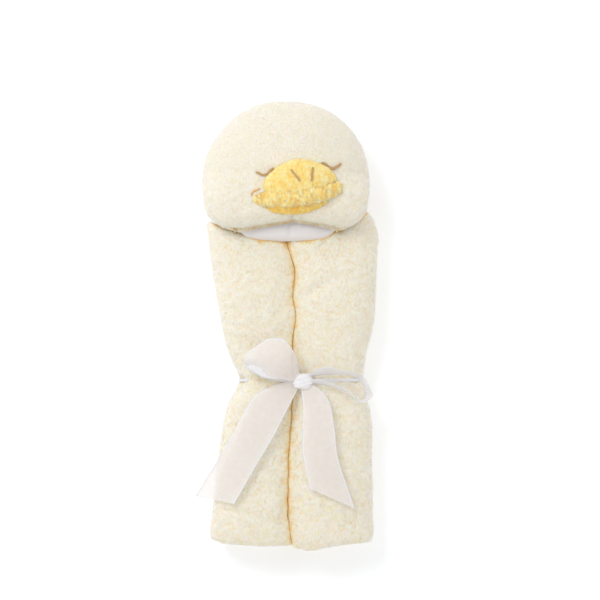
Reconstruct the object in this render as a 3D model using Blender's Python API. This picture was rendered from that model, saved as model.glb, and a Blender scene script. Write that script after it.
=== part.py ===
"""A baby's hooded towel with a sleepy duck's face, rolled from both sides and tied with a ribbon bow.

Metres, +Z up. The towel lies face up on the plane z = 0 with its length along Y and the crown of
the hood at +Y. The origin is on the flat underside of the back panel, on the towel's centre plane.
Sizes below are in millimetres, and every point is scaled to metres as its mesh is made.
"""

import math

import bmesh
import bpy
import numpy as np
from mathutils import Matrix, Vector

MM = 0.001
GAP = 0.3  # between pieces that touch

# The rolled towel: one row a station, from the hem to the neck. The slant is how much further
# towards the hood the outer side of a section lies than its inner side.
PANEL_THICKNESS = 5.0
PANEL_WAIST_Y = -60.0
ROLL_POWER = 2.5  # of the superelliptic sections: 2 is round, more is boxier
ROLL_POINTS = 20
END_ROUNDING = 4.0
STATIONS = (
    # along Y, left outer side, valley, right outer side, underside, top, slant
    (-236.0, -83.5, 4.0, 89.0, 5.3, 60.0, 0.0),
    (-205.0, -81.0, -1.0, 87.5, 5.3, 63.0, 0.0),
    (-140.0, -72.0, -0.5, 85.0, 5.3, 62.0, 0.0),
    (-100.0, -68.0, 2.0, 84.5, 6.0, 60.0, 0.0),
    (-76.0, -59.0, 3.5, 79.0, 8.0, 54.0, 0.0),
    (-60.0, -47.0, 4.0, 73.5, 9.5, 49.0, 0.0),
    (-46.0, -53.0, 4.0, 77.0, 8.0, 54.0, 0.0),
    (-10.0, -68.0, 5.0, 86.0, 6.0, 61.0, 0.0),
    (27.0, -75.0, 6.5, 90.5, 5.3, 64.0, 0.0),
    (60.0, -81.5, 4.0, 93.0, 5.3, 63.0, 12.0),
    (88.0, -87.0, -2.0, 93.5, 5.3, 59.0, 28.0),
)

# The hood, a soft shell round a middle line that rises over the ends of the rolls to the chin.
HOOD_X = -3.2
HOOD_HALF_WIDTH = 91.0
WIDEST_Y = 153.0
CROWN_REACH = 90.0
CHIN_REACH = 49.0
CROWN_POWER = 2.3
CHIN_POWER = 3.2
CHIN_TOP_POWER = 5.0
SEAM_Y = 167.0  # the seam across the face at eye level
BACK_MOUTH_Y = 134.3  # the back half ends here, clear of the ends of the rolls
FRONT_MOUTH_Y = 105.5  # the front half goes on to the chin
SIDE_SEAM_Z = 44.0
CHIN_LIFT = 33.0
LIFT_START_Y = 170.0
FACE_Z = 101.0
FRONT_POWER = 2.3
BACK_POWER = 2.8
PATCH_STEPS = 16  # faces across a half turn
# Layers, as fractions of the way out from the middle line
SKIN = (1.0, 0.955)
WADDING = (0.949, 0.70)
LINING = (0.694, 0.670)
SEAT = (1.014, 0.02)  # what the beak is cut away from

# The beak, turned a little, with its left corner lower
BEAK_CENTRE = Vector((9.5, 147.5, 92.0))
BEAK_TURN = math.radians(6.0)
UPPER_BILL = Vector((50.0, 33.5, 27.0))
LOWER_BILL = Vector((45.0, 26.0, 21.0))
UPPER_BILL_POWER = 1.6
BILL_WALL = 3.5
BILL_DEPTH = 10.0  # below the beak's centre, sunk in the face

# Stitches, as routes over the face or the beak seen from above
THREAD_RADIUS = 1.1
EYES = {
    "left_eye_stitch": ((-37.0, 166.5), (-31.5, 163.4), (-27.0, 163.2), (-24.0, 165.0)),
    "right_eye_stitch": ((38.0, 175.5), (42.5, 171.2), (48.0, 170.0), (53.0, 171.8), (57.5, 175.6)),
}
NOSTRILS = {
    "left_nostril_stitch": ((3.5, 168.5), (7.5, 162.0), (12.0, 156.0)),
    "right_nostril_stitch": ((25.2, 170.0), (25.4, 163.0), (25.0, 157.0)),
}

# The ribbon: 38 mm organza, tied round the waist
RIBBON_WIDTH = 36.0
RIBBON_THICKNESS = 0.8
BAND_STATIONS = (-72.0, -60.0, -49.0)
BAND_POWER = 4.5
KNOT_CENTRE = Vector((15.0, -60.5, 58.5))
KNOT_RADII = Vector((9.0, 8.5, 6.5))
TAIL_CLEARANCE = 3.0
TAIL_DROOP = 48.0  # how sharply a tail bends down past the side of a roll
TAIL_STEPS = 4
TAIL_PINCH = 0.42
LEFT_TAIL = ((4.5, -68.5), (-12.0, -84.0), (-30.0, -113.0), (-52.0, -148.0), (-80.0, -189.0))
RIGHT_TAIL = ((23.0, -71.5), (29.0, -92.0), (33.0, -125.0), (38.0, -155.0), (46.0, -188.0))

CREAM = (0.93, 0.87, 0.68)
YELLOW = (0.93, 0.68, 0.22)
WHITE = (0.93, 0.93, 0.94)
BROWN = (0.33, 0.19, 0.08)
RIBBON_WHITE = (0.90, 0.91, 0.94)
FILLING = (0.88, 0.87, 0.84)


def clear_scene():
    for thing in list(bpy.data.objects):
        bpy.data.objects.remove(thing, do_unlink=True)


def finish(name, colour, roughness=0.9):
    """The piece's own Principled material."""
    material = bpy.data.materials.new(name)
    material.use_nodes = True
    shader = material.node_tree.nodes["Principled BSDF"]
    shader.inputs["Base Color"].default_value = (*colour, 1.0)
    shader.inputs["Roughness"].default_value = roughness
    shader.inputs["Metallic"].default_value = 0.0
    return material


def add_mesh(name, mesh_maker, colour, origin=Vector((0.0, 0.0, 0.0))):
    """A mesh object with its faces out and smooth, and its own origin at origin."""
    mesh_maker.normal_update()
    bmesh.ops.recalc_face_normals(mesh_maker, faces=mesh_maker.faces)
    bmesh.ops.transform(
        mesh_maker,
        matrix=Matrix.Scale(MM, 4) @ Matrix.Translation(-origin),
        verts=mesh_maker.verts,
    )
    mesh = bpy.data.meshes.new(name)
    mesh_maker.to_mesh(mesh)
    mesh_maker.free()
    mesh.shade_smooth()
    mesh.set_sharp_from_angle(angle=math.radians(40))
    piece = bpy.data.objects.new(name, mesh)
    piece.location = origin * MM
    mesh.materials.append(finish(name, colour))
    bpy.context.collection.objects.link(piece)
    return piece


def loft(rings, ring_is_closed=True, rings_closed=False):
    """A bmesh skinned over rings of equal length, capped unless the rings close on themselves."""
    maker = bmesh.new()
    rows = [[maker.verts.new(point) for point in ring] for ring in rings]
    count = len(rows[0])
    spans = len(rows) if rings_closed else len(rows) - 1
    for i in range(spans):
        here = rows[i]
        there = rows[(i + 1) % len(rows)]
        for j in range(count if ring_is_closed else count - 1):
            k = (j + 1) % count
            maker.faces.new((here[j], here[k], there[k], there[j]))
    if not rings_closed:
        maker.faces.new(rows[0])
        maker.faces.new(rows[-1])
    return maker


def signed_power(value, power):
    return math.copysign(abs(value) ** power, value)


# ---------------------------------------------------------------- the rolled towel


def station_at(y):
    """Left outer side, valley, right outer side, underside, top and slant at a place along Y."""
    rows = np.array(STATIONS)
    return [float(np.interp(y, rows[:, 0], rows[:, column])) for column in range(1, 7)]


def roll_sides(row, side):
    """The inner and outer X of one roll at a station; side is -1 on the left, 1 on the right."""
    outer = row[1] if side < 0 else row[3]
    return row[2] + side * 0.5 * GAP * 1.4, outer


def roll_ring(row, side, shrink=0.0, shift=0.0):
    inner, outer = roll_sides(row, side)
    middle = 0.5 * (inner + outer)
    half = 0.5 * abs(outer - inner) - shrink
    low = row[4]
    top = row[5] - shrink
    height = 0.5 * (top - low)
    points = []
    for i in range(ROLL_POINTS):
        angle = 2 * math.pi * i / ROLL_POINTS
        x = middle + half * signed_power(math.cos(angle), 2 / ROLL_POWER)
        z = low + height + height * signed_power(math.sin(angle), 2 / ROLL_POWER)
        across = abs(x - inner) / abs(outer - inner)
        points.append(Vector((x, row[0] + shift + row[6] * across, z)))
    return points


def make_roll(name, side):
    rings = [roll_ring(STATIONS[0], side, 5.0, -END_ROUNDING)]
    rings += [roll_ring(row, side) for row in STATIONS]
    rings.append(roll_ring(STATIONS[-1], side, 5.0, END_ROUNDING))
    return add_mesh(name, loft(rings), CREAM)


def roll_top(x, y):
    """The height of the rolls' upper surface over a point."""
    left, valley, right, low, top, _ = station_at(y)
    outer = left if x < valley else right
    middle = 0.5 * (valley + outer)
    half = 0.5 * abs(outer - valley)
    height = 0.5 * (top - low)
    across = min(abs(x - middle) / half, 1.0)
    return low + height + height * (1 - across**ROLL_POWER) ** (1 / ROLL_POWER)


def make_back_panel():
    """The flat middle of the cloth, drawn in at the waist and running on to the hood's seam."""
    outline = (
        (-38.0, -236.0),
        (42.0, -236.0),
        (44.0, -150.0),
        (32.0, PANEL_WAIST_Y),
        (46.0, 30.0),
        (56.0, 134.0 - GAP),
        (-60.0, 134.0 - GAP),
        (-42.0, 30.0),
        (-20.0, PANEL_WAIST_Y),
        (-34.0, -150.0),
    )
    maker = bmesh.new()
    face = maker.faces.new([maker.verts.new((x, y, 0.0)) for x, y in outline])
    grown = bmesh.ops.extrude_face_region(maker, geom=[face])
    lifted = [item for item in grown["geom"] if isinstance(item, bmesh.types.BMVert)]
    bmesh.ops.translate(maker, vec=(0, 0, PANEL_THICKNESS), verts=lifted)
    return add_mesh("back_panel", maker, CREAM)


# ---------------------------------------------------------------- the hood


def smooth_step(value):
    value = min(max(value, 0.0), 1.0)
    return value * value * (3 - 2 * value)


def side_seam_z(y):
    """The height of the middle line, which climbs over the rolls towards the chin."""
    return SIDE_SEAM_Z + CHIN_LIFT * smooth_step((LIFT_START_Y - y) / (LIFT_START_Y - BACK_MOUTH_Y))


def fullness(y, chin_power):
    """How wide the hood is at y, from 0 at an end to 1 where it is widest."""
    reach, power = (CROWN_REACH, CROWN_POWER) if y > WIDEST_Y else (CHIN_REACH, chin_power)
    return max(1 - min(abs(y - WIDEST_Y) / reach, 1.0) ** power, 0.0) ** (1 / power)


def hood_point(y, angle, layer, front):
    """A point of one layer: angle runs from the right-hand side seam over the front or the back."""
    power = FRONT_POWER if front else BACK_POWER
    middle = side_seam_z(y)
    width = HOOD_HALF_WIDTH * fullness(y, CHIN_POWER)
    if front:
        depth = SIDE_SEAM_Z + (FACE_Z - SIDE_SEAM_Z) * fullness(y, CHIN_TOP_POWER) - middle
        depth = depth * math.sin(angle) ** (2 / power) + GAP / layer
    else:
        depth = -middle * min(1.0, 1.05 * fullness(y, CHIN_TOP_POWER) * math.sin(angle) ** (2 / power))
    across = width * signed_power(math.cos(angle), 2 / power)
    along = WIDEST_Y + (y - WIDEST_Y) * (layer if y > WIDEST_Y else 1.0)
    return Vector((HOOD_X + layer * across, along, middle + layer * depth))


def stations_between(start, end):
    """The hood's shared places along Y between two ends, closing up towards the crown, and the ends."""
    chin = list(np.linspace(FRONT_MOUTH_Y, BACK_MOUTH_Y, 5))
    side = list(np.linspace(BACK_MOUTH_Y, SEAM_Y, 6))
    seam_angle = math.asin(((SEAM_Y - WIDEST_Y) / CROWN_REACH) ** (CROWN_POWER / 2))
    angles = np.linspace(seam_angle, math.pi / 2, 7)
    crown = [WIDEST_Y + CROWN_REACH * math.sin(angle) ** (2 / CROWN_POWER) for angle in angles]
    inside = [y for y in sorted({*chin, *side, *crown}) if start + 0.5 < y < end - 0.5]
    return [start, *inside, end]


def hood_patch(front, layers, start, end, first_angle, last_angle, steps=PATCH_STEPS):
    """A closed piece of the hood between two layers, two places along Y and two angles."""
    places = stations_between(start, end)
    angles = np.linspace(first_angle, last_angle, steps + 1)
    maker = bmesh.new()
    sheets = [
        [[maker.verts.new(hood_point(y, a, layer, front)) for a in angles] for y in places]
        for layer in layers
    ]
    rows = len(places)
    columns = len(angles)
    for sheet in sheets:
        for i in range(rows - 1):
            for j in range(columns - 1):
                corners = (sheet[i][j], sheet[i][j + 1], sheet[i + 1][j + 1], sheet[i + 1][j])
                maker.faces.new(corners)
    outer, inner = sheets
    for i in range(rows - 1):
        for j in (0, columns - 1):
            maker.faces.new((outer[i][j], outer[i + 1][j], inner[i + 1][j], inner[i][j]))
    for j in range(columns - 1):
        for i in (0, rows - 1):
            maker.faces.new((outer[i][j], outer[i][j + 1], inner[i][j + 1], inner[i][j]))
    bmesh.ops.remove_doubles(maker, verts=maker.verts, dist=1e-4)
    bmesh.ops.dissolve_degenerate(maker, edges=maker.edges, dist=1e-4)
    return maker


def make_hood():
    crown = WIDEST_Y + CROWN_REACH
    half_turn = math.pi
    quarter = math.pi / 2
    sliver = 0.0025  # an angle that leaves the seam gap down the chin
    pieces = (
        ("crown_panel", True, SKIN, SEAM_Y + GAP / 2, crown, 0.0, half_turn, CREAM),
        ("left_cheek_panel", True, SKIN, FRONT_MOUTH_Y, SEAM_Y - GAP / 2, quarter + sliver, half_turn, CREAM),
        ("right_cheek_panel", True, SKIN, FRONT_MOUTH_Y, SEAM_Y - GAP / 2, 0.0, quarter - sliver, CREAM),
        ("hood_back_panel", False, SKIN, BACK_MOUTH_Y, crown, 0.0, half_turn, CREAM),
        ("front_wadding", True, WADDING, FRONT_MOUTH_Y, crown, 0.0, half_turn, FILLING),
        ("back_wadding", False, WADDING, BACK_MOUTH_Y, crown, 0.0, half_turn, FILLING),
        ("front_lining", True, LINING, FRONT_MOUTH_Y, crown, 0.0, half_turn, WHITE),
        ("back_lining", False, LINING, BACK_MOUTH_Y, crown, 0.0, half_turn, WHITE),
    )
    for name, front, layers, start, end, first, last, colour in pieces:
        steps = PATCH_STEPS // 2 if "cheek" in name else PATCH_STEPS
        add_mesh(name, hood_patch(front, layers, start, end, first, last, steps), colour)


def make_throat_lining():
    """The puffed end of the lining, which lies on the inner ends of the rolls below the chin."""
    rows = (
        # along Y, half width, underside, top
        (88.5, 26.0, 60.5, 63.0),
        (94.0, 44.0, 60.5, 67.0),
        (104.0, 54.0, 60.5, 70.0),
        (118.0, 54.0, 60.5, 70.5),
        (130.0, 48.0, 60.5, 68.0),
    )
    rings = []
    for y, half, low, top in rows:
        ring = []
        for i in range(16):
            angle = 2 * math.pi * i / 16
            x = HOOD_X + half * math.cos(angle)
            z = 0.5 * (low + top) + 0.5 * (top - low) * signed_power(math.sin(angle), 0.8)
            ring.append(Vector((x, y, z)))
        rings.append(ring)
    add_mesh("throat_lining", loft(rings), WHITE)


def face_height(x, y):
    """The height of the front of the hood over a point."""
    middle = side_seam_z(y)
    depth = SIDE_SEAM_Z + (FACE_Z - SIDE_SEAM_Z) * fullness(y, CHIN_TOP_POWER) - middle
    across = min(abs(x - HOOD_X) / (HOOD_HALF_WIDTH * fullness(y, CHIN_POWER)), 1.0)
    return middle + depth * (1 - across**FRONT_POWER) ** (1 / FRONT_POWER) + GAP


# ---------------------------------------------------------------- the beak


def corner_reach(angle, power):
    """How far out a superellipse lies at an angle, where a circle's reach is 1."""
    return (abs(math.cos(angle)) ** power + abs(math.sin(angle)) ** power) ** (-1 / power)


def half_dome(radii, start, towards_crown, power):
    """Half of a squashed ball, cut across at start from the beak's centre and turned with the beak."""
    maker = bmesh.new()
    bmesh.ops.create_uvsphere(maker, u_segments=28, v_segments=14, radius=1.0)
    for vertex in maker.verts:
        reach = corner_reach(math.atan2(vertex.co.y, vertex.co.x), power)
        vertex.co.x *= reach * radii.x
        vertex.co.y *= reach * radii.y
        vertex.co.z *= radii.z
    sign = 1.0 if towards_crown else -1.0
    for point, normal in (((0, sign * start, 0), (0, sign, 0)), ((0, 0, -BILL_DEPTH), (0, 0, 1))):
        geometry = list(maker.verts) + list(maker.edges) + list(maker.faces)
        cut = bmesh.ops.bisect_plane(
            maker, geom=geometry, plane_co=point, plane_no=normal, clear_inner=True
        )
        rim = [item for item in cut["geom_cut"] if isinstance(item, bmesh.types.BMEdge)]
        bmesh.ops.holes_fill(maker, edges=rim)
    place = Matrix.Translation(BEAK_CENTRE) @ Matrix.Rotation(BEAK_TURN, 4, "Z")
    bmesh.ops.transform(maker, matrix=place, verts=maker.verts)
    return maker


def make_guide(name, maker):
    """A cutter, left out of the object."""
    guide = add_mesh(name, maker, CREAM)
    guide.hide_render = True
    guide.display_type = "WIRE"
    return guide


def cut_away(piece, cutter):
    boolean = piece.modifiers.new(f"clear of {cutter.name}", "BOOLEAN")
    boolean.operation = "DIFFERENCE"
    boolean.solver = "EXACT"
    boolean.object = cutter


def make_beak():
    wall = Vector((BILL_WALL, BILL_WALL, BILL_WALL))
    room = Vector((GAP, GAP, GAP))
    crown = WIDEST_Y + CROWN_REACH
    seat = make_guide("face_seat", hood_patch(True, SEAT, FRONT_MOUTH_Y - 1, crown, 0.0, math.pi))
    hollow_radii = UPPER_BILL - wall
    hollow = make_guide("bill_hollow", half_dome(hollow_radii, BILL_WALL, True, UPPER_BILL_POWER))
    upper = add_mesh("upper_bill", half_dome(UPPER_BILL, 0.2, True, UPPER_BILL_POWER), YELLOW)
    stuffing = add_mesh(
        "beak_stuffing", half_dome(hollow_radii - room, BILL_WALL + GAP, True, UPPER_BILL_POWER), FILLING
    )
    lower = add_mesh("lower_bill", half_dome(LOWER_BILL, GAP, False, 2.2), YELLOW)
    cut_away(upper, hollow)
    for piece in (upper, stuffing, lower):
        cut_away(piece, seat)


def bill_height(x, y):
    """The height of the upper bill over a point."""
    local = Matrix.Rotation(-BEAK_TURN, 4, "Z") @ (Vector((x, y, 0.0)) - Vector((*BEAK_CENTRE.xy, 0.0)))
    reach = corner_reach(math.atan2(local.y, local.x), UPPER_BILL_POWER)
    out = math.hypot(local.x / UPPER_BILL.x, local.y / UPPER_BILL.y) / reach
    return BEAK_CENTRE.z + UPPER_BILL.z * math.sqrt(max(1 - out * out, 0.0))


def make_stitch(name, route, height_at, lift):
    """A thread along a route, resting on the surface whose height is given."""
    spread = []
    for (x0, y0), (x1, y1) in zip(route, route[1:]):
        for step in range(3):
            share = step / 3
            spread.append((x0 + (x1 - x0) * share, y0 + (y1 - y0) * share))
    spread.append(route[-1])
    curve = bpy.data.curves.new(name, "CURVE")
    curve.dimensions = "3D"
    curve.bevel_depth = THREAD_RADIUS * MM
    curve.bevel_resolution = 1
    curve.use_fill_caps = True
    spline = curve.splines.new("POLY")
    spline.points.add(len(spread) - 1)
    for point, (x, y) in zip(spline.points, spread):
        point.co = (x * MM, y * MM, (height_at(x, y) + THREAD_RADIUS + lift) * MM, 1.0)
    thread = bpy.data.objects.new(name, curve)
    curve.materials.append(finish(name, BROWN, 0.6))
    bpy.context.collection.objects.link(thread)
    return thread


# ---------------------------------------------------------------- the ribbon


def band_ring(y, grow):
    """The outline round both rolls at y, grown outwards."""
    left, _, right, low, top, _ = station_at(y)
    half = 0.5 * (right - left) + 1.0 + grow
    height = 0.5 * (top - low) + 1.0 + grow
    middle = Vector((0.5 * (left + right), y, 0.5 * (low + top)))
    ring = []
    for i in range(32):
        angle = 2 * math.pi * i / 32
        x = half * signed_power(math.cos(angle), 2 / BAND_POWER)
        z = height * signed_power(math.sin(angle), 2 / BAND_POWER)
        ring.append(middle + Vector((x, 0.0, z)))
    return ring


def make_band():
    inner = [band_ring(y, 0.0) for y in BAND_STATIONS]
    outer = [band_ring(y, RIBBON_THICKNESS) for y in reversed(BAND_STATIONS)]
    add_mesh("ribbon_band", loft(inner + outer, rings_closed=True), RIBBON_WHITE)


def make_knot():
    maker = bmesh.new()
    bmesh.ops.create_uvsphere(maker, u_segments=16, v_segments=8, radius=1.0)
    place = Matrix.Translation(KNOT_CENTRE) @ Matrix.Diagonal((*KNOT_RADII, 1.0))
    bmesh.ops.transform(maker, matrix=place, verts=maker.verts)
    add_mesh("ribbon_knot", maker, RIBBON_WHITE)


def drape_height(x, y):
    """The underside of a ribbon lying over a roll: flat over the valley, drooping past the outer side."""
    left, valley, right, _, top, _ = station_at(y)
    outer = left if x < valley else right
    middle = 0.5 * (valley + outer)
    out = (x - middle) / (outer - middle)
    return top + TAIL_CLEARANCE - TAIL_DROOP * max(out - 0.5, 0.0) ** 2


def make_tail(name, bends, width):
    """A flat end of ribbon that runs through the bends and lies over a roll."""
    centre_line = [Vector(bend) for bend in bends]
    rows = []
    for here, there in zip(centre_line, centre_line[1:]):
        rows += [here.lerp(there, step / TAIL_STEPS) for step in range(TAIL_STEPS)]
    rows.append(centre_line[-1])
    rings = []
    for i, place in enumerate(rows):
        ahead = (rows[min(i + 1, len(rows) - 1)] - rows[max(i - 1, 0)]).normalized()
        across = Vector((-ahead.y, ahead.x))
        half = 0.5 * width * min(1.0, TAIL_PINCH + i / 8)
        sides = [place + across * (half * share) for share in (-1.0, -0.5, 0.0, 0.5, 1.0)]
        lower = [Vector((*side, drape_height(*side))) for side in sides]
        upper = [point + Vector((0.0, 0.0, RIBBON_THICKNESS)) for point in lower]
        rings.append(upper + lower[::-1])
    hinge = Vector((*rows[0], rings[0][2].z))
    return add_mesh(name, loft(rings), RIBBON_WHITE, hinge)


def make_loop(name, start, reach, turn, lean, rise, half_widths):
    """A loop of the bow: a teardrop strip that leaves the knot, turns back and returns to it."""
    out = Vector((math.cos(turn), math.sin(turn), 0.0))
    side = Vector((-out.y * math.cos(lean), out.x * math.cos(lean), math.sin(lean)))
    up = side.cross(out) * -1.0
    if up.z < 0:
        up = -up
    count = 18
    rings = []
    for sign, thickness in ((-1, 0.0), (1, 0.0), (1, RIBBON_THICKNESS), (-1, RIBBON_THICKNESS)):
        ring = []
        for i in range(count):
            angle = 2 * math.pi * i / count
            share = 0.5 * (1 - math.cos(angle))
            bulge = math.sin(angle) * share**0.5
            along = (reach - 2 * thickness) * share + thickness
            height = (rise - thickness) * bulge
            half = half_widths[0] + (half_widths[1] - half_widths[0]) * min(share * 2.2, 1.0)
            ring.append(start + out * along + up * height + side * (sign * half))
        rings.append(ring)
    return add_mesh(name, loft(rings, rings_closed=True), RIBBON_WHITE, start)


def make_bow():
    half = 0.5 * RIBBON_WIDTH
    make_loop("left_loop", Vector((4.0, -55.0, 67.0)), 52.0, math.radians(148), 0.0, 7.0, (6.0, half))
    make_loop("right_loop", Vector((26.0, -57.5, 72.0)), 62.0, math.radians(-7), math.radians(68), 6.5, (5.0, 15.0))
    make_tail("left_tail", LEFT_TAIL, RIBBON_WIDTH)
    make_tail("right_tail", RIGHT_TAIL, RIBBON_WIDTH)


def main():
    clear_scene()
    make_roll("left_roll", -1)
    make_roll("right_roll", 1)
    make_back_panel()
    make_hood()
    make_throat_lining()
    make_beak()
    for name, route in EYES.items():
        make_stitch(name, route, face_height, GAP + 0.5)
    for name, route in NOSTRILS.items():
        make_stitch(name, route, bill_height, GAP)
    make_band()
    make_knot()
    make_bow()


main()
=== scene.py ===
"""A baby's hooded towel with a sleepy duck's face: the looks of every piece, built round its frame.

Everything is in metres in the frame's own axes: +Y runs to the crown of the hood, +Z out of the
face and +X to the right of a person who looks down on the face. Sizes in the classes below are in
millimetres and pass through MM as a mesh is made.
"""
import logging
import math
from dataclasses import dataclass, field
from enum import Enum

import bpy
import numpy as np
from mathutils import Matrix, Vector


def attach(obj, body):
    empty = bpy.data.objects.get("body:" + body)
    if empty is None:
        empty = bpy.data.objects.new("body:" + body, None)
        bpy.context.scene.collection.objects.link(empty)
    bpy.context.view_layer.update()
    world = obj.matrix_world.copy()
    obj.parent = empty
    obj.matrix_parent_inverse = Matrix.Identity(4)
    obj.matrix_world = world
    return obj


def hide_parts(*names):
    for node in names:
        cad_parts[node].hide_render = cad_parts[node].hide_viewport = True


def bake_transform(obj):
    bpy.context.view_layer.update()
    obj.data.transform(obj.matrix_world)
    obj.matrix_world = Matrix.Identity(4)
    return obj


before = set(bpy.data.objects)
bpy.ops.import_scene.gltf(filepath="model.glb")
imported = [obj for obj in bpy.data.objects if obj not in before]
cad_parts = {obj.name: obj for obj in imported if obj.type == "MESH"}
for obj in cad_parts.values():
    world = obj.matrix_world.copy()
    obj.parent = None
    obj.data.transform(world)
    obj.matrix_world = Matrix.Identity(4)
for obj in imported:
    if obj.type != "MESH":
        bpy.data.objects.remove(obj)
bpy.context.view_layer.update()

MM = 0.001
LOG = logging.getLogger("hooded_towel")
SPIKE_CORNERS = (0.0, 2.0944, 4.1888)
Point = tuple[float, float, float]
Colour = tuple[float, float, float]


class Seed(Enum):
    """Fixed seeds, so that each run gives the same pile and the same wrinkles."""

    TOWEL = 11
    HOOD = 23
    BEAK = 37
    LINING = 41
    RIBBON = 53


# ---------------------------------------------------------------- noise and curves


def lattice_noise(points: np.ndarray, wavelength: float, seed: int) -> np.ndarray:
    """Smooth value noise in space.

    Args:
        points: Places, n by 3.
        wavelength: Distance between the lattice's points, in the units of points.
        seed: Which noise field to read.

    Returns:
        One value a place, from -1 to 1.
    """
    cell = points / wavelength
    base = np.floor(cell).astype(np.int64)
    part = cell - base
    part = part * part * (3.0 - 2.0 * part)
    total = np.zeros(len(points))
    for corner in range(8):
        step = np.array([corner & 1, corner >> 1 & 1, corner >> 2 & 1])
        key = (base + step) @ np.array([73856093, 19349663, 83492791]) + seed * 2654435761
        key = (key ^ (key >> 13)) * 1274126177
        key = (key ^ (key >> 16)) & 0xFFFF
        weight = np.prod(np.where(step == 1, part, 1.0 - part), axis=1)
        total += weight * (key / 32767.5 - 1.0)
    return total


def layered_noise(points: np.ndarray, layers: tuple[tuple[float, float], ...],
                  seed: int) -> np.ndarray:
    """The sum of several noises.

    Args:
        points: Places, n by 3.
        layers: (wavelength, height) of each noise.
        seed: Which noise fields to read.

    Returns:
        One value a place.
    """
    total = np.zeros(len(points))
    for number, (wavelength, height) in enumerate(layers):
        total += height * lattice_noise(points, wavelength, seed + 7 * number)
    return total


def smooth_curve(controls: np.ndarray, count: int) -> np.ndarray:
    """A Catmull-Rom curve through control rows.

    Args:
        controls: Control rows, m by any number of columns.
        count: How many rows to return.

    Returns:
        The rows along the curve, evenly spaced in its parameter.
    """
    padded = np.vstack([2 * controls[0] - controls[1], controls, 2 * controls[-1] - controls[-2]])
    place = np.linspace(0, len(controls) - 1, count)
    start = np.minimum(place.astype(int), len(controls) - 2)
    t = (place - start)[:, None]
    a, b, c, d = (padded[start + k] for k in range(4))
    return 0.5 * (2 * b + (c - a) * t + (2 * a - 5 * b + 4 * c - d) * t**2
                  + (3 * b - a - 3 * c + d) * t**3)


def signed_power(value: np.ndarray, power: float) -> np.ndarray:
    """The value's magnitude to a power, with its sign kept."""
    return np.sign(value) * np.abs(value) ** power


def smooth_step(value: np.ndarray) -> np.ndarray:
    """0 below 0, 1 above 1 and an S between."""
    value = np.clip(value, 0.0, 1.0)
    return value * value * (3.0 - 2.0 * value)


# ---------------------------------------------------------------- meshes


def grid_normals(grid: np.ndarray, wrap: bool) -> np.ndarray:
    """Unit normals of a grid of points.

    Args:
        grid: Points, rows by columns by 3.
        wrap: Whether the last column meets the first.

    Returns:
        A normal for each point, in a grid of the same shape.
    """
    down = np.gradient(grid, axis=0)
    if wrap:
        across = (np.roll(grid, -1, axis=1) - np.roll(grid, 1, axis=1)) / 2
    else:
        across = np.gradient(grid, axis=1)
    normal = np.cross(across, down)
    length = np.linalg.norm(normal, axis=2, keepdims=True)
    return normal / np.maximum(length, 1e-9)


def grid_faces(rows: int, columns: int, wrap: bool) -> np.ndarray:
    """Four corners for each face of a grid, row by row.

    Args:
        rows: Rows of the grid.
        columns: Points in each row.
        wrap: Whether the last column meets the first.

    Returns:
        Corner numbers, n by 4.
    """
    i, j = np.meshgrid(np.arange(rows - 1), np.arange(columns if wrap else columns - 1),
                       indexing="ij")
    k = (j + 1) % columns
    faces = np.stack([i * columns + j, i * columns + k, (i + 1) * columns + k, (i + 1) * columns
                      + j], -1)
    return faces.reshape(-1, 4)


def pole_fans(rows: int, columns: int) -> list[np.ndarray]:
    """Triangles that close both ends of a round grid onto one point each.

    Args:
        rows: Rows of the grid.
        columns: Points round each row.

    Returns:
        The first end's triangles and the last end's; their points follow the grid's own.
    """
    count = rows * columns
    last = (rows - 1) * columns
    j = np.arange(columns)
    k = (j + 1) % columns
    return [np.stack([k, j, np.full(columns, count)], 1),
            np.stack([last + j, last + k, np.full(columns, count + 1)], 1)]


def tube_caps(rows: int, columns: int) -> list[np.ndarray]:
    """One many-cornered face over each end of a round grid."""
    return [np.arange(columns)[None, ::-1], (rows - 1) * columns + np.arange(columns)[None]]


def cloth_caps(rows: int, columns: int) -> list[np.ndarray]:
    """Faces over both ends of a cloth whose rows run out on one face and back on the other.

    Args:
        rows: Rows of the cloth.
        columns: Points across one face.

    Returns:
        The first end's faces and the last end's.
    """
    j = np.arange(columns - 1)
    k = 2 * columns - 1 - j
    caps = [np.stack([start + j, start + j + 1, start + k - 1, start + k], 1)
            for start in (0, (rows - 1) * 2 * columns)]
    return [caps[0][:, ::-1], caps[1]]


def make_object(name: str, points: np.ndarray, faces: list,
                marks: dict[str, np.ndarray]) -> bpy.types.Object:
    """A smooth mesh object.

    Args:
        name: The piece's name.
        points: Its points in millimetres, n by 3.
        faces: Arrays of faces, each with one number of corners a face.
        marks: Named values for each point, which its material reads.

    Returns:
        The object, linked into the scene.
    """
    mesh = bpy.data.meshes.new(name)
    corners = np.concatenate([block.reshape(-1) for block in faces])
    sizes = np.concatenate([np.full(len(block), block.shape[1]) for block in faces])
    starts = np.concatenate([[0], np.cumsum(sizes)[:-1]])
    mesh.vertices.add(len(points))
    mesh.vertices.foreach_set("co", (points * MM).astype(np.float32).reshape(-1))
    mesh.loops.add(len(corners))
    mesh.loops.foreach_set("vertex_index", corners.astype(np.int32))
    mesh.polygons.add(len(sizes))
    mesh.polygons.foreach_set("loop_start", starts.astype(np.int32))
    mesh.polygons.foreach_set("use_smooth", np.ones(len(sizes), dtype=bool))
    mesh.update(calc_edges=True)
    mesh.validate()
    for mark, values in marks.items():
        mesh.attributes.new(mark, "FLOAT", "POINT").data.foreach_set("value",
                                                                     values.astype(np.float32))
    piece = bpy.data.objects.new(name, mesh)
    bpy.context.collection.objects.link(piece)
    return piece


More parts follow.
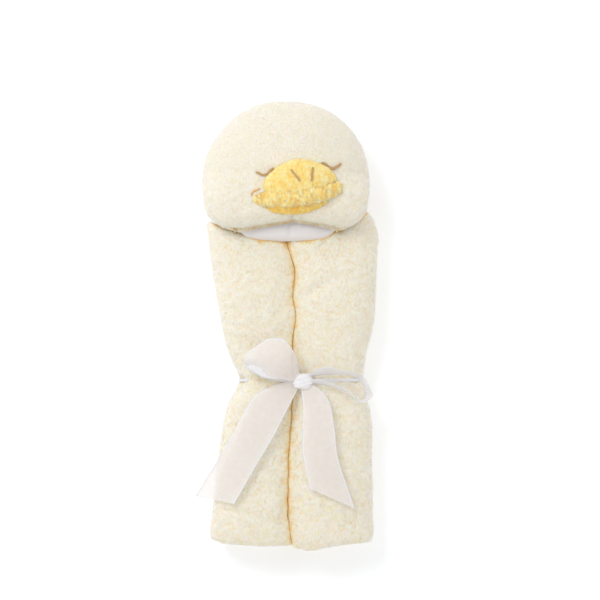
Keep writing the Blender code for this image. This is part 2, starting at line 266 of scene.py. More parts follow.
def faces_out(points: np.ndarray, faces: list) -> list:
    """The faces of a closed mesh, all turned outwards.

    Args:
        points: The mesh's points.
        faces: Arrays of faces that agree on their side.

    Returns:
        The same faces, reversed if they all looked in.
    """
    volume = 0.0
    for block in faces:
        first = points[block[:, 0]]
        for k in range(1, block.shape[1] - 1):
            volume += np.einsum("ij,ij->i", first,
                                np.cross(points[block[:, k]], points[block[:, k + 1]])).sum()
    return faces if volume > 0 else [block[:, ::-1] for block in faces]


@dataclass(frozen=True)
class Pile:
    """Standing fibres, each a thin closed spike of four faces."""

    per_square_cm: float
    length: float
    radius: float
    lean: Point = (0.0, 0.0, 0.0)
    spread: float = 0.45

    def grow(self, name: str, points: np.ndarray, faces: np.ndarray, keep: np.ndarray,
             seed: int) -> bpy.types.Object:
        """Fibres over a surface.

        Args:
            name: The new piece's name.
            points: The surface's points, in millimetres.
            faces: Its four-cornered faces.
            keep: How thickly each face is covered, from 0 to 1.
            seed: The seed of their places.

        Returns:
            The object with all the fibres.
        """
        random = np.random.default_rng(seed)
        corner = points[faces]
        normal = np.cross(corner[:, 2] - corner[:, 0], corner[:, 3] - corner[:, 1])
        area = 0.5 * np.linalg.norm(normal, axis=1)
        normal /= np.maximum(2 * area[:, None], 1e-9)
        weight = area * keep
        count = int(weight.sum() / 100.0 * self.per_square_cm)
        chosen = random.choice(len(faces), count, p=weight / weight.sum())
        u, v = random.random((2, count, 1))
        a, b, c, d = (corner[chosen, k] for k in range(4))
        root = (a * (1 - u) + b * u) * (1 - v) + (d * (1 - u) + c * u) * v
        scatter = random.normal(0.0, self.spread, (count, 3))
        way = normal[chosen] + scatter + np.array(self.lean)
        way /= np.linalg.norm(way, axis=1, keepdims=True)
        side = np.cross(way, random.normal(size=(count, 3)))
        side /= np.linalg.norm(side, axis=1, keepdims=True)
        other = np.cross(way, side)
        length = self.length * random.uniform(0.55, 1.15, (count, 1))
        foot = root - way * 0.4
        radius = self.radius * random.uniform(0.7, 1.2, (count, 1))
        ring = [foot + radius * (math.cos(t) * side + math.sin(t) * other) for t in SPIKE_CORNERS]
        spikes = np.stack([*ring, root + way * length], axis=1).reshape(-1, 3)
        first = 4 * np.arange(count)[:, None]
        pattern = np.array([[0, 2, 1], [0, 1, 3], [1, 2, 3], [2, 0, 3]])
        spike_faces = (first[:, None] + pattern[None]).reshape(-1, 3)
        return make_object(name, spikes, [spike_faces], {})


# ---------------------------------------------------------------- finishes


def add_node(tree: bpy.types.NodeTree, kind: str, **settings: object) -> bpy.types.Node:
    """A new node with its settings.

    Args:
        tree: The tree that it joins.
        kind: The node's type.
        settings: Its properties; one named after an input sets that input's value.

    Returns:
        The node.
    """
    node = tree.nodes.new(kind)
    for name, value in settings.items():
        label = name.replace("_", " ").title()
        if name in node.bl_rna.properties:
            setattr(node, name, value)
        else:
            node.inputs[label].default_value = value
    return node


def group_socket(tree: bpy.types.NodeTree, name: str, way: str, kind: str,
                 value: object = None) -> None:
    """Adds a named input or output to a node group.

    Args:
        tree: The group.
        name: The socket's name.
        way: INPUT or OUTPUT.
        kind: The socket's type.
        value: Its first value, if any.
    """
    socket = tree.interface.new_socket(name=name, in_out=way, socket_type=kind)
    if value is not None:
        socket.default_value = value


def mix_colour(tree: bpy.types.NodeTree, factor: object, first: object,
               second: object) -> bpy.types.NodeSocket:
    """A mix of two colours.

    Args:
        tree: The tree.
        factor: The second colour's share, a socket or a value.
        first: A socket or a colour.
        second: A socket or a colour.

    Returns:
        The mixed colour's socket.
    """
    node = tree.nodes.new("ShaderNodeMix")
    node.data_type = "RGBA"
    for socket, source in ((node.inputs[0], factor), (node.inputs[6], first),
                           (node.inputs[7], second)):
        if isinstance(source, bpy.types.NodeSocket):
            tree.links.new(source, socket)
        else:
            socket.default_value = source
    return node.outputs[2]


def blend_value(tree: bpy.types.NodeTree, value: bpy.types.NodeSocket, low: float, high: float,
                out_low: float, out_high: float) -> bpy.types.NodeSocket:
    """A value moved from one range to another and held inside it.

    Args:
        tree: The tree.
        value: The value's socket.
        low: Start of its range.
        high: End of its range.
        out_low: What low becomes.
        out_high: What high becomes.

    Returns:
        The moved value's socket.
    """
    node = tree.nodes.new("ShaderNodeMapRange")
    tree.links.new(value, node.inputs["Value"])
    for name, number in (("From Min", low), ("From Max", high), ("To Min", out_low),
                         ("To Max", out_high)):
        node.inputs[name].default_value = number
    return node.outputs["Result"]


def noise_value(tree: bpy.types.NodeTree, place: bpy.types.NodeSocket, scale: object,
                detail: float = 2.0) -> bpy.types.NodeSocket:
    """The value of a noise texture read at a place.

    Args:
        tree: The tree.
        place: The place's socket.
        scale: A socket or a value.
        detail: How many finer layers it has.

    Returns:
        The value's socket.
    """
    node = add_node(tree, "ShaderNodeTexNoise", detail=detail)
    tree.links.new(place, node.inputs["Vector"])
    if isinstance(scale, bpy.types.NodeSocket):
        tree.links.new(scale, node.inputs["Scale"])
    else:
        node.inputs["Scale"].default_value = scale
    return node.outputs["Fac"]


def tuft_group() -> bpy.types.NodeTree:
    """The node group for pile: base, deep and tip colours over a random grain and its height, with
    painted shade and a painted highlight set by each point's shade depth, and a painted-shade
    colour in the creases.

    Returns:
        The group, made once.
    """
    found = bpy.data.node_groups.get("pile_tufts")
    if found:
        return found
    tree = bpy.data.node_groups.new("pile_tufts", "ShaderNodeTree")
    for name, value in (("Base", (0.9, 0.85, 0.7, 1)), ("Deep", (0.8, 0.7, 0.5, 1)),
                        ("Tip", (1, 1, 0.9, 1)),
                        ("Painted Shade", (0.88, 0.58, 0.24, 1))):
        group_socket(tree, name, "INPUT", "NodeSocketColor", value)
    group_socket(tree, "Depth", "INPUT", "NodeSocketFloat", 0.5)
    group_socket(tree, "Grain", "INPUT", "NodeSocketFloat", 400.0)
    group_socket(tree, "Place", "INPUT", "NodeSocketVector")
    group_socket(tree, "Colour", "OUTPUT", "NodeSocketColor")
    group_socket(tree, "Height", "OUTPUT", "NodeSocketFloat")
    group_socket(tree, "Roughness", "OUTPUT", "NodeSocketFloat")
    ports = tree.nodes.new("NodeGroupInput").outputs
    end = tree.nodes.new("NodeGroupOutput").inputs
    drawn = add_node(tree, "ShaderNodeVectorMath", operation="MULTIPLY")
    tree.links.new(ports["Place"], drawn.inputs[0])
    drawn.inputs[1].default_value = (1.0, 0.6, 1.0)
    grain = noise_value(tree, drawn.outputs["Vector"], ports["Grain"], 1.5)
    patches = noise_value(tree, ports["Place"], 38.0, 3.0)
    total = add_node(tree, "ShaderNodeMath", operation="MULTIPLY_ADD")
    tree.links.new(grain, total.inputs[0])
    total.inputs[1].default_value = 2.6
    tree.links.new(ports["Depth"], total.inputs[2])
    # Painted shade and highlight: a low shade depth turns the base towards Deep between the tufts,
    # a high one towards Tip on them; the random patches of Deep are the cloth's own tone.
    low = blend_value(tree, total.outputs[0], 1.00, 1.80, 1.0, 0.0)
    high = blend_value(tree, total.outputs[0], 1.80, 2.45, 0.0, 0.85)
    patch = blend_value(tree, patches, 0.35, 0.65, 0.0, 0.10)
    tone = mix_colour(tree, low, ports["Base"], ports["Deep"])
    tone = mix_colour(tree, high, tone, ports["Tip"])
    tone = mix_colour(tree, patch, tone, ports["Deep"])
    # Painted shade: where the shade depth is lowest, in the creases and under the chin, the
    # painted-shade colour takes over.
    tone = mix_colour(tree, blend_value(tree, total.outputs[0], 0.30, 1.15, 1.0, 0.0), tone,
                      ports["Painted Shade"])
    tree.links.new(tone, end["Colour"])
    tree.links.new(grain, end["Height"])
    tree.links.new(blend_value(tree, patches, 0.3, 0.7, 0.85, 1.0), end["Roughness"])
    return tree


def weave_group() -> bpy.types.NodeTree:
    """The node group for woven or knitted cloth: two crossing sets of yarns as a height and a mask.

    Returns:
        The group, made once.
    """
    found = bpy.data.node_groups.get("crossing_yarns")
    if found:
        return found
    tree = bpy.data.node_groups.new("crossing_yarns", "ShaderNodeTree")
    group_socket(tree, "Place", "INPUT", "NodeSocketVector")
    group_socket(tree, "Yarns", "INPUT", "NodeSocketFloat", 900.0)
    group_socket(tree, "Height", "OUTPUT", "NodeSocketFloat")
    group_socket(tree, "Slub", "OUTPUT", "NodeSocketFloat")
    ports = tree.nodes.new("NodeGroupInput").outputs
    end = tree.nodes.new("NodeGroupOutput").inputs
    waves = []
    for direction in ("X", "Y"):
        wave = add_node(tree, "ShaderNodeTexWave", bands_direction=direction, distortion=1.5)
        tree.links.new(ports["Place"], wave.inputs["Vector"])
        tree.links.new(ports["Yarns"], wave.inputs["Scale"])
        waves.append(wave.outputs["Fac"])
    crossed = add_node(tree, "ShaderNodeMath", operation="ADD")
    tree.links.new(waves[0], crossed.inputs[0])
    tree.links.new(waves[1], crossed.inputs[1])
    tree.links.new(crossed.outputs[0], end["Height"])
    slub = noise_value(tree, ports["Place"], 160.0, 4.0)
    tree.links.new(slub, end["Slub"])
    return tree


def new_material(name: str) -> tuple[bpy.types.Material, bpy.types.NodeTree, bpy.types.Node]:
    """A material with its tree and its Principled shader.

    Args:
        name: The material's name.

    Returns:
        The material, its tree and its shader.
    """
    material = bpy.data.materials.new(name)
    material.use_nodes = True
    tree = material.node_tree
    return material, tree, tree.nodes["Principled BSDF"]


def add_bump(tree: bpy.types.NodeTree, shader: bpy.types.Node, height: bpy.types.NodeSocket,
             distance: float, strength: float = 1.0) -> None:
    """Joins a Bump from a height to the shader's normal.

    Args:
        tree: The tree.
        shader: The shader.
        height: The height's socket.
        distance: How deep it is, in metres.
        strength: How much of it shows.
    """
    bump = add_node(tree, "ShaderNodeBump", strength=strength, distance=distance)
    tree.links.new(height, bump.inputs["Height"])
    tree.links.new(bump.outputs["Normal"], shader.inputs["Normal"])


@dataclass(frozen=True)
class PlushFinish:
    """Short pile cloth with a random grain; painted shade makes it warmer and deeper between its
    tufts and in creases, and a painted highlight makes it paler at their tips.
    """

    name: str
    base: Colour
    deep: Colour
    tip: Colour
    grain: float = 420.0
    bump: float = 0.0006
    sheen: float = 0.35
    glow: float = 0.4

    def build(self) -> bpy.types.Material:
        """Makes the material.

        Returns:
            The material.
        """
        material, tree, shader = new_material(self.name)
        tufts = tree.nodes.new("ShaderNodeGroup")
        tufts.node_tree = tuft_group()
        for socket, colour in (("Base", self.base), ("Deep", self.deep), ("Tip", self.tip)):
            tufts.inputs[socket].default_value = (*colour, 1.0)
        tufts.inputs["Grain"].default_value = self.grain
        # The shade depth that each point carries sets the painted shade and the painted highlight.
        depth = add_node(tree, "ShaderNodeAttribute", attribute_name="painted_shade_depth")
        place = tree.nodes.new("ShaderNodeTexCoord")
        tree.links.new(depth.outputs["Fac"], tufts.inputs["Depth"])
        tree.links.new(place.outputs["Object"], tufts.inputs["Place"])
        tree.links.new(tufts.outputs["Colour"], shader.inputs["Base Color"])
        tree.links.new(tufts.outputs["Roughness"], shader.inputs["Roughness"])
        add_bump(tree, shader, tufts.outputs["Height"], self.bump)
        shader.inputs["Sheen Weight"].default_value = self.sheen
        shader.inputs["Sheen Roughness"].default_value = 0.6
        shader.inputs["Sheen Tint"].default_value = (*self.tip, 1.0)
        shader.inputs["Specular IOR Level"].default_value = 0.1
        shader.inputs["Subsurface Weight"].default_value = self.glow
        shader.inputs["Subsurface Radius"].default_value = (1.0, 0.7, 0.35)
        shader.inputs["Subsurface Scale"].default_value = 0.004
        return material


@dataclass(frozen=True)
class FibreFinish:
    """Single standing fibres, one colour along their length, with a soft uneven shine."""

    name: str
    colour: Colour
    sheen: float = 0.3
    glow: float = 0.7

    def build(self) -> bpy.types.Material:
        """Makes the material.

        Returns:
            The material.
        """
        material, tree, shader = new_material(self.name)
        place = tree.nodes.new("ShaderNodeTexCoord")
        uneven = noise_value(tree, place.outputs["Object"], 300.0)
        tree.links.new(blend_value(tree, uneven, 0.3, 0.7, 0.75, 1.0), shader.inputs["Roughness"])
        shader.inputs["Base Color"].default_value = (*self.colour, 1.0)
        shader.inputs["Sheen Weight"].default_value = self.sheen
        shader.inputs["Specular IOR Level"].default_value = 0.1
        shader.inputs["Subsurface Weight"].default_value = self.glow
        shader.inputs["Subsurface Radius"].default_value = (1.0, 0.75, 0.45)
        shader.inputs["Subsurface Scale"].default_value = 0.003
        return material


@dataclass(frozen=True)
class JerseyFinish:
    """Fine white knitted cloth with soft ribs."""

    name: str = "white_jersey"
    colour: Colour = (0.90, 0.875, 0.89)
    deep: Colour = (0.80, 0.74, 0.76)

    def build(self) -> bpy.types.Material:
        """Makes the material.

        Returns:
            The material.
        """
        material, tree, shader = new_material(self.name)
        yarns = tree.nodes.new("ShaderNodeGroup")
        yarns.node_tree = weave_group()
        yarns.inputs["Yarns"].default_value = 260.0
        place = tree.nodes.new("ShaderNodeTexCoord")
        tree.links.new(place.outputs["Object"], yarns.inputs["Place"])
        share = blend_value(tree, yarns.outputs["Slub"], 0.35, 0.75, 0.0, 0.35)
        tone = mix_colour(tree, share, (*self.colour, 1.0), (*self.deep, 1.0))
        tree.links.new(tone, shader.inputs["Base Color"])
        add_bump(tree, shader, yarns.outputs["Height"], 0.0001, 0.6)
        shader.inputs["Roughness"].default_value = 0.9
        shader.inputs["Sheen Weight"].default_value = 0.25
        return material


@dataclass(frozen=True)
class ThreadFinish:
    """Embroidery thread with a twisted lay and a low shine."""

    name: str
    light: Colour
    dark: Colour

    def build(self) -> bpy.types.Material:
        """Makes the material.

        Returns:
            The material.
        """
        material, tree, shader = new_material(self.name)
        place = tree.nodes.new("ShaderNodeTexCoord")
        lay = add_node(tree, "ShaderNodeTexWave", bands_direction="DIAGONAL", scale=420.0,
                       distortion=3.0)
        tree.links.new(place.outputs["Object"], lay.inputs["Vector"])
        tone = mix_colour(tree, lay.outputs["Fac"], (*self.dark, 1.0), (*self.light, 1.0))
        tree.links.new(tone, shader.inputs["Base Color"])
        add_bump(tree, shader, lay.outputs["Fac"], 0.0002)
        shader.inputs["Roughness"].default_value = 0.7
        shader.inputs["Sheen Weight"].default_value = 0.2
        return material


@dataclass(frozen=True)
class OrganzaFinish:
    """Sheer woven ribbon with dense white edges."""

    name: str
    sheer: float = 0.49
    edge: float = 0.92
    colour: Colour = (0.985, 0.945, 0.935)

    def build(self) -> bpy.types.Material:
        """Makes the material.

        Returns:
            The material.
        """
        material, tree, shader = new_material(self.name)
        yarns = tree.nodes.new("ShaderNodeGroup")
        yarns.node_tree = weave_group()
        yarns.inputs["Yarns"].default_value = 420.0
        place = tree.nodes.new("ShaderNodeTexCoord")
        tree.links.new(place.outputs["Object"], yarns.inputs["Place"])
        edge = add_node(tree, "ShaderNodeAttribute", attribute_name="edge")
        selvedge = blend_value(tree, edge.outputs["Fac"], 0.90, 0.95, 0.0, 1.0)
        cloth = blend_value(tree, yarns.outputs["Slub"], 0.3, 0.7, self.sheer - 0.02, self.sheer
                            + 0.02)
        clear = tree.nodes.new("ShaderNodeMix")
        tree.links.new(selvedge, clear.inputs[0])
        tree.links.new(cloth, clear.inputs[2])
        clear.inputs[3].default_value = self.edge
        tree.links.new(clear.outputs[0], shader.inputs["Alpha"])
        tone = mix_colour(tree, selvedge, (*self.colour, 1.0), (0.95, 0.955, 1.0, 1.0))
        tree.links.new(tone, shader.inputs["Base Color"])
        add_bump(tree, shader, yarns.outputs["Height"], 0.00005, 0.5)
        shader.inputs["Roughness"].default_value = 0.55
        shader.inputs["Sheen Weight"].default_value = 0.5
        shader.inputs["Sheen Roughness"].default_value = 0.4
        return material


@dataclass(frozen=True)
class FloorFinish:
    """A plain pale sweep, bright enough to read as white where nothing shades it."""

    name: str = "pale_floor"
    glow: float = 0.25

    def build(self) -> bpy.types.Material:
        """Makes the material.

        Returns:
            The material.
        """
        material, tree, shader = new_material(self.name)
        place = tree.nodes.new("ShaderNodeTexCoord")
        paper = noise_value(tree, place.outputs["Object"], 6.0)
        tone = mix_colour(tree, paper, (0.905, 0.935, 0.985, 1.0), (0.915, 0.94, 0.985, 1.0))
        tree.links.new(tone, shader.inputs["Base Color"])
        shader.inputs["Roughness"].default_value = 1.0
        shader.inputs["Specular IOR Level"].default_value = 0.0
        shader.inputs["Emission Color"].default_value = (1.0, 1.0, 1.0, 1.0)
        shader.inputs["Emission Strength"].default_value = self.glow
        return material


@dataclass
class Finishes:
    """Every material of the object, made once."""

    # In each plush here, deep is the painted shade between the tufts and tip the painted highlight
    # on them.
    plush: bpy.types.Material = field(default_factory=lambda: PlushFinish(
        "cream_plush", (0.938, 0.878, 0.755), (0.892, 0.780, 0.530), (0.972, 0.938, 0.865),
        grain=500.0, bump=0.0009).build())
    hood_plush: bpy.types.Material = field(default_factory=lambda: PlushFinish(
        "cream_hood_plush", (0.900, 0.850, 0.735), (0.850, 0.760, 0.570), (0.940, 0.912, 0.845),
        grain=560.0, bump=0.0007).build())
    fibre: bpy.types.Material = field(default_factory=lambda: FibreFinish(
        "cream_fibre", (0.945, 0.900, 0.790)).build())
    beak: bpy.types.Material = field(default_factory=lambda: PlushFinish(
        "yellow_terry", (1.000, 0.805, 0.340), (1.000, 0.620, 0.120), (1.000, 0.905, 0.570),
        grain=420.0, bump=0.0008, sheen=0.25, glow=0.35).build())
    # A darker copy of the yellow terry for the lower bill, painted shade under the rim.
    beak_under: bpy.types.Material = field(default_factory=lambda: PlushFinish(
        "yellow_terry_painted_shade", (0.985, 0.670, 0.170), (0.940, 0.510, 0.070), (1.000, 0.790, 0.330),
        grain=380.0, bump=0.0006, sheen=0.2).build())
    beak_fibre: bpy.types.Material = field(default_factory=lambda: FibreFinish(
        "yellow_fibre", (1.000, 0.830, 0.420), 0.2).build())
    # A paler copy of the yellow fibre for the rim's ridge, a painted highlight.
    rim_fibre: bpy.types.Material = field(default_factory=lambda: FibreFinish(
        "yellow_fibre_painted_highlight", (1.000, 0.860, 0.500), 0.3).build())
    # A darker copy of the plush for the neck web, painted shade.
    painted_shade_plush: bpy.types.Material = field(default_factory=lambda: PlushFinish(
        "shaded_plush", (0.900, 0.790, 0.600), (0.820, 0.640, 0.400),
        (0.940, 0.880, 0.740)).build())
    jersey: bpy.types.Material = field(default_factory=lambda: JerseyFinish().build())
    brown: bpy.types.Material = field(default_factory=lambda: ThreadFinish(
        "brown_thread", (0.70, 0.46, 0.21), (0.50, 0.29, 0.11)).build())
    painted_shadow_orange: bpy.types.Material = field(default_factory=lambda: ThreadFinish(
        "orange_painted_shadow", (0.96, 0.62, 0.22), (0.88, 0.46, 0.10)).build())
    organza: bpy.types.Material = field(default_factory=lambda: OrganzaFinish("organza").build())
    # A denser copy of the organza for the knot and band; its darker colour is painted shade.
    gathered_organza_painted_shade: bpy.types.Material = field(default_factory=lambda: OrganzaFinish(
        "gathered_organza_painted_shade", 0.97, 0.99, (0.925, 0.915, 0.945)).build())
    # A denser copy of the organza for the folded loops; its whiter colour is painted light against
    # their shade.
    folded_organza_painted_light: bpy.types.Material = field(default_factory=lambda: OrganzaFinish(
        "folded_organza_painted_light", 0.76, 0.97, (0.990, 0.980, 1.0)).build())
    floor: bpy.types.Material = field(default_factory=lambda: FloorFinish().build())


def dress(piece: bpy.types.Object, material: bpy.types.Material) -> bpy.types.Object:
    """Gives a piece its material.

    Args:
        piece: The piece.
        material: Its material.

    Returns:
        The piece.
    """
    piece.data.materials.clear()
    piece.data.materials.append(material)
    LOG.info("%s in %s", piece.name, material.name)
    return piece


# ---------------------------------------------------------------- the rolled towel


@dataclass
class RolledTowel:
    """One plush cloth rolled up from both sides into two scrolls, drawn in at the waist."""

    stations: tuple = (
        # along Y, left outer side, valley, right outer side,
        # underside, top, left slant, right slant
        (-239.5, -86.0, 5.0, 91.0, 0.0, 60.0, 6.0, 4.0),
        (-228.0, -86.0, 2.0, 92.0, 0.0, 62.0, 6.0, 4.0),
        (-205.0, -83.5, -0.5, 90.5, 0.0, 63.0, 4.0, 2.0),
        (-170.0, -80.5, -1.0, 89.5, 0.0, 63.0, 0.0, 0.0),
        (-132.0, -75.5, 0.0, 88.5, 0.0, 62.0, 0.0, 0.0),
        (-100.0, -71.5, 3.0, 89.0, 0.5, 60.0, 0.0, 0.0),
        (-82.0, -66.5, 3.5, 85.0, 2.0, 57.5, 0.0, 0.0),
        (-70.0, -59.0, 3.5, 81.5, 4.0, 55.5, 0.0, 0.0),
        (-60.0, -54.5, 4.0, 77.0, 5.0, 53.5, 0.0, 0.0),
        (-50.0, -58.0, 4.0, 80.0, 4.0, 55.5, 0.0, 0.0),
        (-34.0, -66.0, 4.5, 83.5, 2.0, 58.5, 0.0, 0.0),
        (-10.0, -72.0, 5.0, 89.0, 0.5, 61.5, 0.0, 0.0),
        (12.0, -76.0, 7.5, 92.5, 0.0, 63.5, 0.0, 1.0),
        (30.0, -80.0, 4.5, 94.0, 0.0, 64.0, 2.0, 4.0),
        (57.0, -85.5, 5.5, 96.0, 0.0, 63.0, 8.0, 14.0),
        (75.0, -89.0, 1.5, 96.0, 0.0, 61.5, 17.0, 25.0),
        (84.0, -90.5, -1.0, 92.5, 0.0, 61.0, 23.0, 33.0),
        (93.5, -90.5, -3.5, 84.5, 0.0, 59.5, 27.0, 38.0),
    )
    power: float = 2.35
    turns: float = 2.3
    pitch_share: float = 0.34
    cloth_share: float = 0.90
    row_step: float = 1.6
    visible_columns: int = 150
    press: float = 8.0
    hidden_columns: int = 34
    panel_columns: int = 10
    tie_y: float = -59.5
    # The hood's chin seen from above; the cloth beside it gets painted shade.
    chin_line: tuple = ((-92.0, 121.0), (-73.0, 109.5), (-52.0, 103.0), (-30.0, 95.0),
                        (-12.0, 94.5), (-3.0, 91.0),
                        (4.0, 96.5), (20.0, 94.5), (38.0, 97.0), (50.0, 104.0), (59.0, 108.5),
                        (78.0, 119.0), (90.0, 130.0))
    pile: Pile = Pile(per_square_cm=15.0, length=1.8, radius=0.26, lean=(0.0, -0.12, 0.0))

    def rows(self) -> np.ndarray:
        """The stations read at every row, closing up where the cloth folds over at both ends.

        Returns:
            Rows in the stations' own columns.
        """
        table = np.array(self.stations)
        low, high = table[0, 0], table[-1, 0]
        ends = np.array([0.0, 0.6, 1.6, 3.2])
        inner = np.linspace(low + 5.0, high - 5.0, int((high - low) / self.row_step))
        y = np.concatenate([low + ends, inner, high - ends[::-1]])
        smooth = smooth_curve(table, 40 * len(table))
        return np.column_stack([y]
                               + [np.interp(y, smooth[:, 0], smooth[:, k]) for k in range(1, 8)])

    def half_section(self, rows: np.ndarray, side: int) -> tuple[np.ndarray, np.ndarray,
                                                                 np.ndarray]:
        """One roll's cloth from the panel's middle to the core of the scroll.

        Args:
            rows: The stations at each row.
            side: -1 for the left roll, 1 for the right.

        Returns:
            The outer face and the inner face, rows by columns by 3, and how far each column shows.
        """
        outer = rows[:, 1] if side < 0 else rows[:, 3]
        valley = rows[:, 2] - side * self.press
        middle = 0.5 * (outer + valley)
        half = 0.5 * np.abs(outer - valley)
        tall = 0.5 * (rows[:, 5] - rows[:, 4])
        pitch = self.pitch_share * tall
        thick = self.cloth_share * pitch
        first = np.linspace(0.0, 1.02, self.visible_columns)
        rest = np.linspace(1.02, self.turns, self.hidden_columns + 1)[1:]
        turn = np.concatenate([first, rest])
        angle = -0.5 * math.pi + 2 * math.pi * turn
        across = signed_power(np.cos(angle), 2 / self.power)
        up = signed_power(np.sin(angle), 2 / self.power)
        faces = []
        crease = self.crease_x(rows)[:, None]
        for inset in (0.0, 1.0):
            wound = np.where(turn < 1.0, smooth_step((turn - 0.80) / 0.20), turn)
            shrink = pitch[:, None] * wound[None] + inset * thick[:, None]
            x = middle[:, None] + side * (half[:, None] - shrink) * across
            z = (rows[:, 4] + tall)[:, None] + (tall[:, None] - shrink) * up
            steps = np.linspace(0.0, 1.0, self.panel_columns, endpoint=False)[None]
            x = crease + side * np.maximum(side * (x - crease), 0.03 + 2.0 * inset)
            panel_x = rows[:, 2:3] + (middle - rows[:, 2])[:, None] * steps
            panel_z = rows[:, 4:5] + inset * thick[:, None] + 0 * panel_x
            x = np.hstack([panel_x, x])
            z = np.hstack([panel_z, z])
            reach = np.clip(np.abs(x - rows[:, 2:3]) / (2 * half[:, None]), 0.0, 1.0)
            y = rows[:, 0:1] + (rows[:, 6:7] if side < 0 else rows[:, 7:8]) * reach**2
            corner = np.exp(-((rows[:, 0:1]
                               + 239.5) / 16.0) ** 2) * np.exp(-(((reach - 0.18) / 0.2) ** 2))
            y = y - (4.5 if side > 0 else -1.0) * corner
            faces.append(np.stack([x, y, z], axis=2))
        shown = np.concatenate([np.full(self.panel_columns, 0.3), np.where(turn < 1.0, 1.0, 0.15)])
        return faces[0], faces[1], shown

    def crease_x(self, rows: np.ndarray) -> np.ndarray:
        """Where the two rolls press together, a slightly wavering line along the valley."""
        along = np.stack([0 * rows[:, 0], rows[:, 0], 0 * rows[:, 0]], axis=1)
        return rows[:, 2] + layered_noise(along, ((26.0, 1.1), (9.0, 0.8)), Seed.TOWEL.value + 90)

    def folds(self, places: np.ndarray) -> np.ndarray:
        """How far wrinkles and soft folds lift the cloth at some places, in millimetres.

        Args:
            places: Places, n by 3.

        Returns:
            One height a place.
        """
        x, y, z = places.T
        near_tie = np.exp(-(((y - self.tie_y) / 30.0) ** 2))
        bunch = 0.5 + 0.5 * lattice_noise(places * np.array([1.0, 0.18, 1.0]), 13.0, 5)
        pleats = 2.0 * near_tie * (bunch - 0.5) * 2
        tie = -0.9 * np.exp(-np.abs((y - self.tie_y) / 2.6) ** 1.6)
        valley = np.interp(y, [row[0] for row in self.stations], [row[2] for row in self.stations])
        lumps = layered_noise(places, ((75.0, 2.2), (31.0, 1.1)), Seed.TOWEL.value)
        lumps *= 0.35 + 0.65 * smooth_step((np.abs(x - valley) - 2.0) / 14.0)
        drawn = places * np.array([0.35, 1.0, 1.0])
        hem = 1.1 * np.exp(-(((y + 222.0) / 18.0) ** 2)) * lattice_noise(drawn, 8.0, 9)
        along = (x - 30.0) * 0.87 + (y - 40.0) * 0.50
        aside = -(x - 30.0) * 0.50 + (y - 40.0) * 0.87
        high = smooth_step((z - 30.0) / 12.0)
        dent = -2.8 * np.exp(-((aside / 5.0) ** 2) - (along / 30.0) ** 2) * high
        swell = 1.8 * np.exp(-(((aside - 14.0) / 10.0) ** 2) - (along / 34.0) ** 2) * high
        tuck_along = (x - 36.0) * 0.55 + (y - 88.0) * 0.83
        tuck_aside = -(x - 36.0) * 0.83 + (y - 88.0) * 0.55
        tuck = -2.6 * np.exp(-((tuck_aside / 2.4) ** 2) - (tuck_along / 9.0) ** 2) * high
        ripple = (x + 55.0) * 0.25 + (y + 203.0) * 0.97
        ripple = -1.2 * np.exp(-((ripple / 2.8) ** 2) - ((x + 45.0) / 26.0) ** 2) * high
        return pleats + tie + lumps + hem + dent + swell + tuck + ripple

    def shade_at_chin(self, outer: np.ndarray) -> np.ndarray:
        """How deep in the crease under the hood's chin each point of the cloth lies, from 0 to 1.

        Args:
            outer: The outer face, rows by columns by 3.

        Returns:
            One share a point.
        """
        chin = np.interp(outer[:, :, 0], *zip(*self.chin_line))
        chin = chin + 1.8 * lattice_noise(outer.reshape(-1, 3), 8.0, Seed.TOWEL.value
                                          + 70).reshape(chin.shape)
        return smooth_step((outer[:, :, 1] - chin + 7.0) / 6.0)

    def build(self, finishes: Finishes) -> None:
        """Makes the cloth and its pile and fixes both to the root body.

        Args:
            finishes: Every material.
        """
        rows = self.rows()
        left_out, left_in, left_shown = self.half_section(rows, -1)
        right_out, right_in, right_shown = self.half_section(rows, 1)
        outer = np.concatenate([left_out[:, ::-1], right_out[:, 1:]], axis=1)
        inner = np.concatenate([left_in[:, ::-1], right_in[:, 1:]], axis=1)
        shown = np.concatenate([left_shown[::-1], right_shown[1:]])
        count, columns = outer.shape[:2]
        edge = np.minimum(rows[:, 0] - rows[0, 0], rows[-1, 0] - rows[:, 0])
        pinch = 0.5 * (1.0 - np.sqrt(np.clip(1 - (1 - np.clip(edge / 5.0, 0, 1)) ** 2, 0,
                                             1)))[:, None, None]
        drawn_in = outer + (inner - outer) * pinch * 0.9
        outer, inner = drawn_in, inner + (outer - inner) * pinch * 0.9
        normal = grid_normals(outer, False)
        outward = outer - inner
        normal *= np.sign(np.einsum("rck,rck->rc", normal, outward))[:, :, None]
        flat = outer.reshape(-1, 3)
        tufts = layered_noise(flat, ((6.5, 0.30), (4.0, 0.46), (2.9, 0.40)), Seed.TOWEL.value + 50)
        off_floor = smooth_step((outer[:, :, 2] - 2.0) / 10.0)
        crease_x = self.crease_x(rows)[:, None]
        free = smooth_step(np.abs(outer[:, :, 0] - crease_x) / 4.5)
        lift = (self.folds(flat) + tufts).reshape(count, columns) * shown[None] * off_floor * free
        outer = outer + normal * lift[:, :, None]
        outer[:, :, 2] = np.maximum(outer[:, :, 2], 0.2)
        side = np.where(np.arange(columns) < len(left_shown), -1.0, 1.0)[None]
        above = outer[:, :, 2] > 12.0
        pressed = crease_x + side * np.maximum(side * (outer[:, :, 0] - crease_x), 0.03)
        outer[:, :, 0] = np.where(above, pressed, outer[:, :, 0])
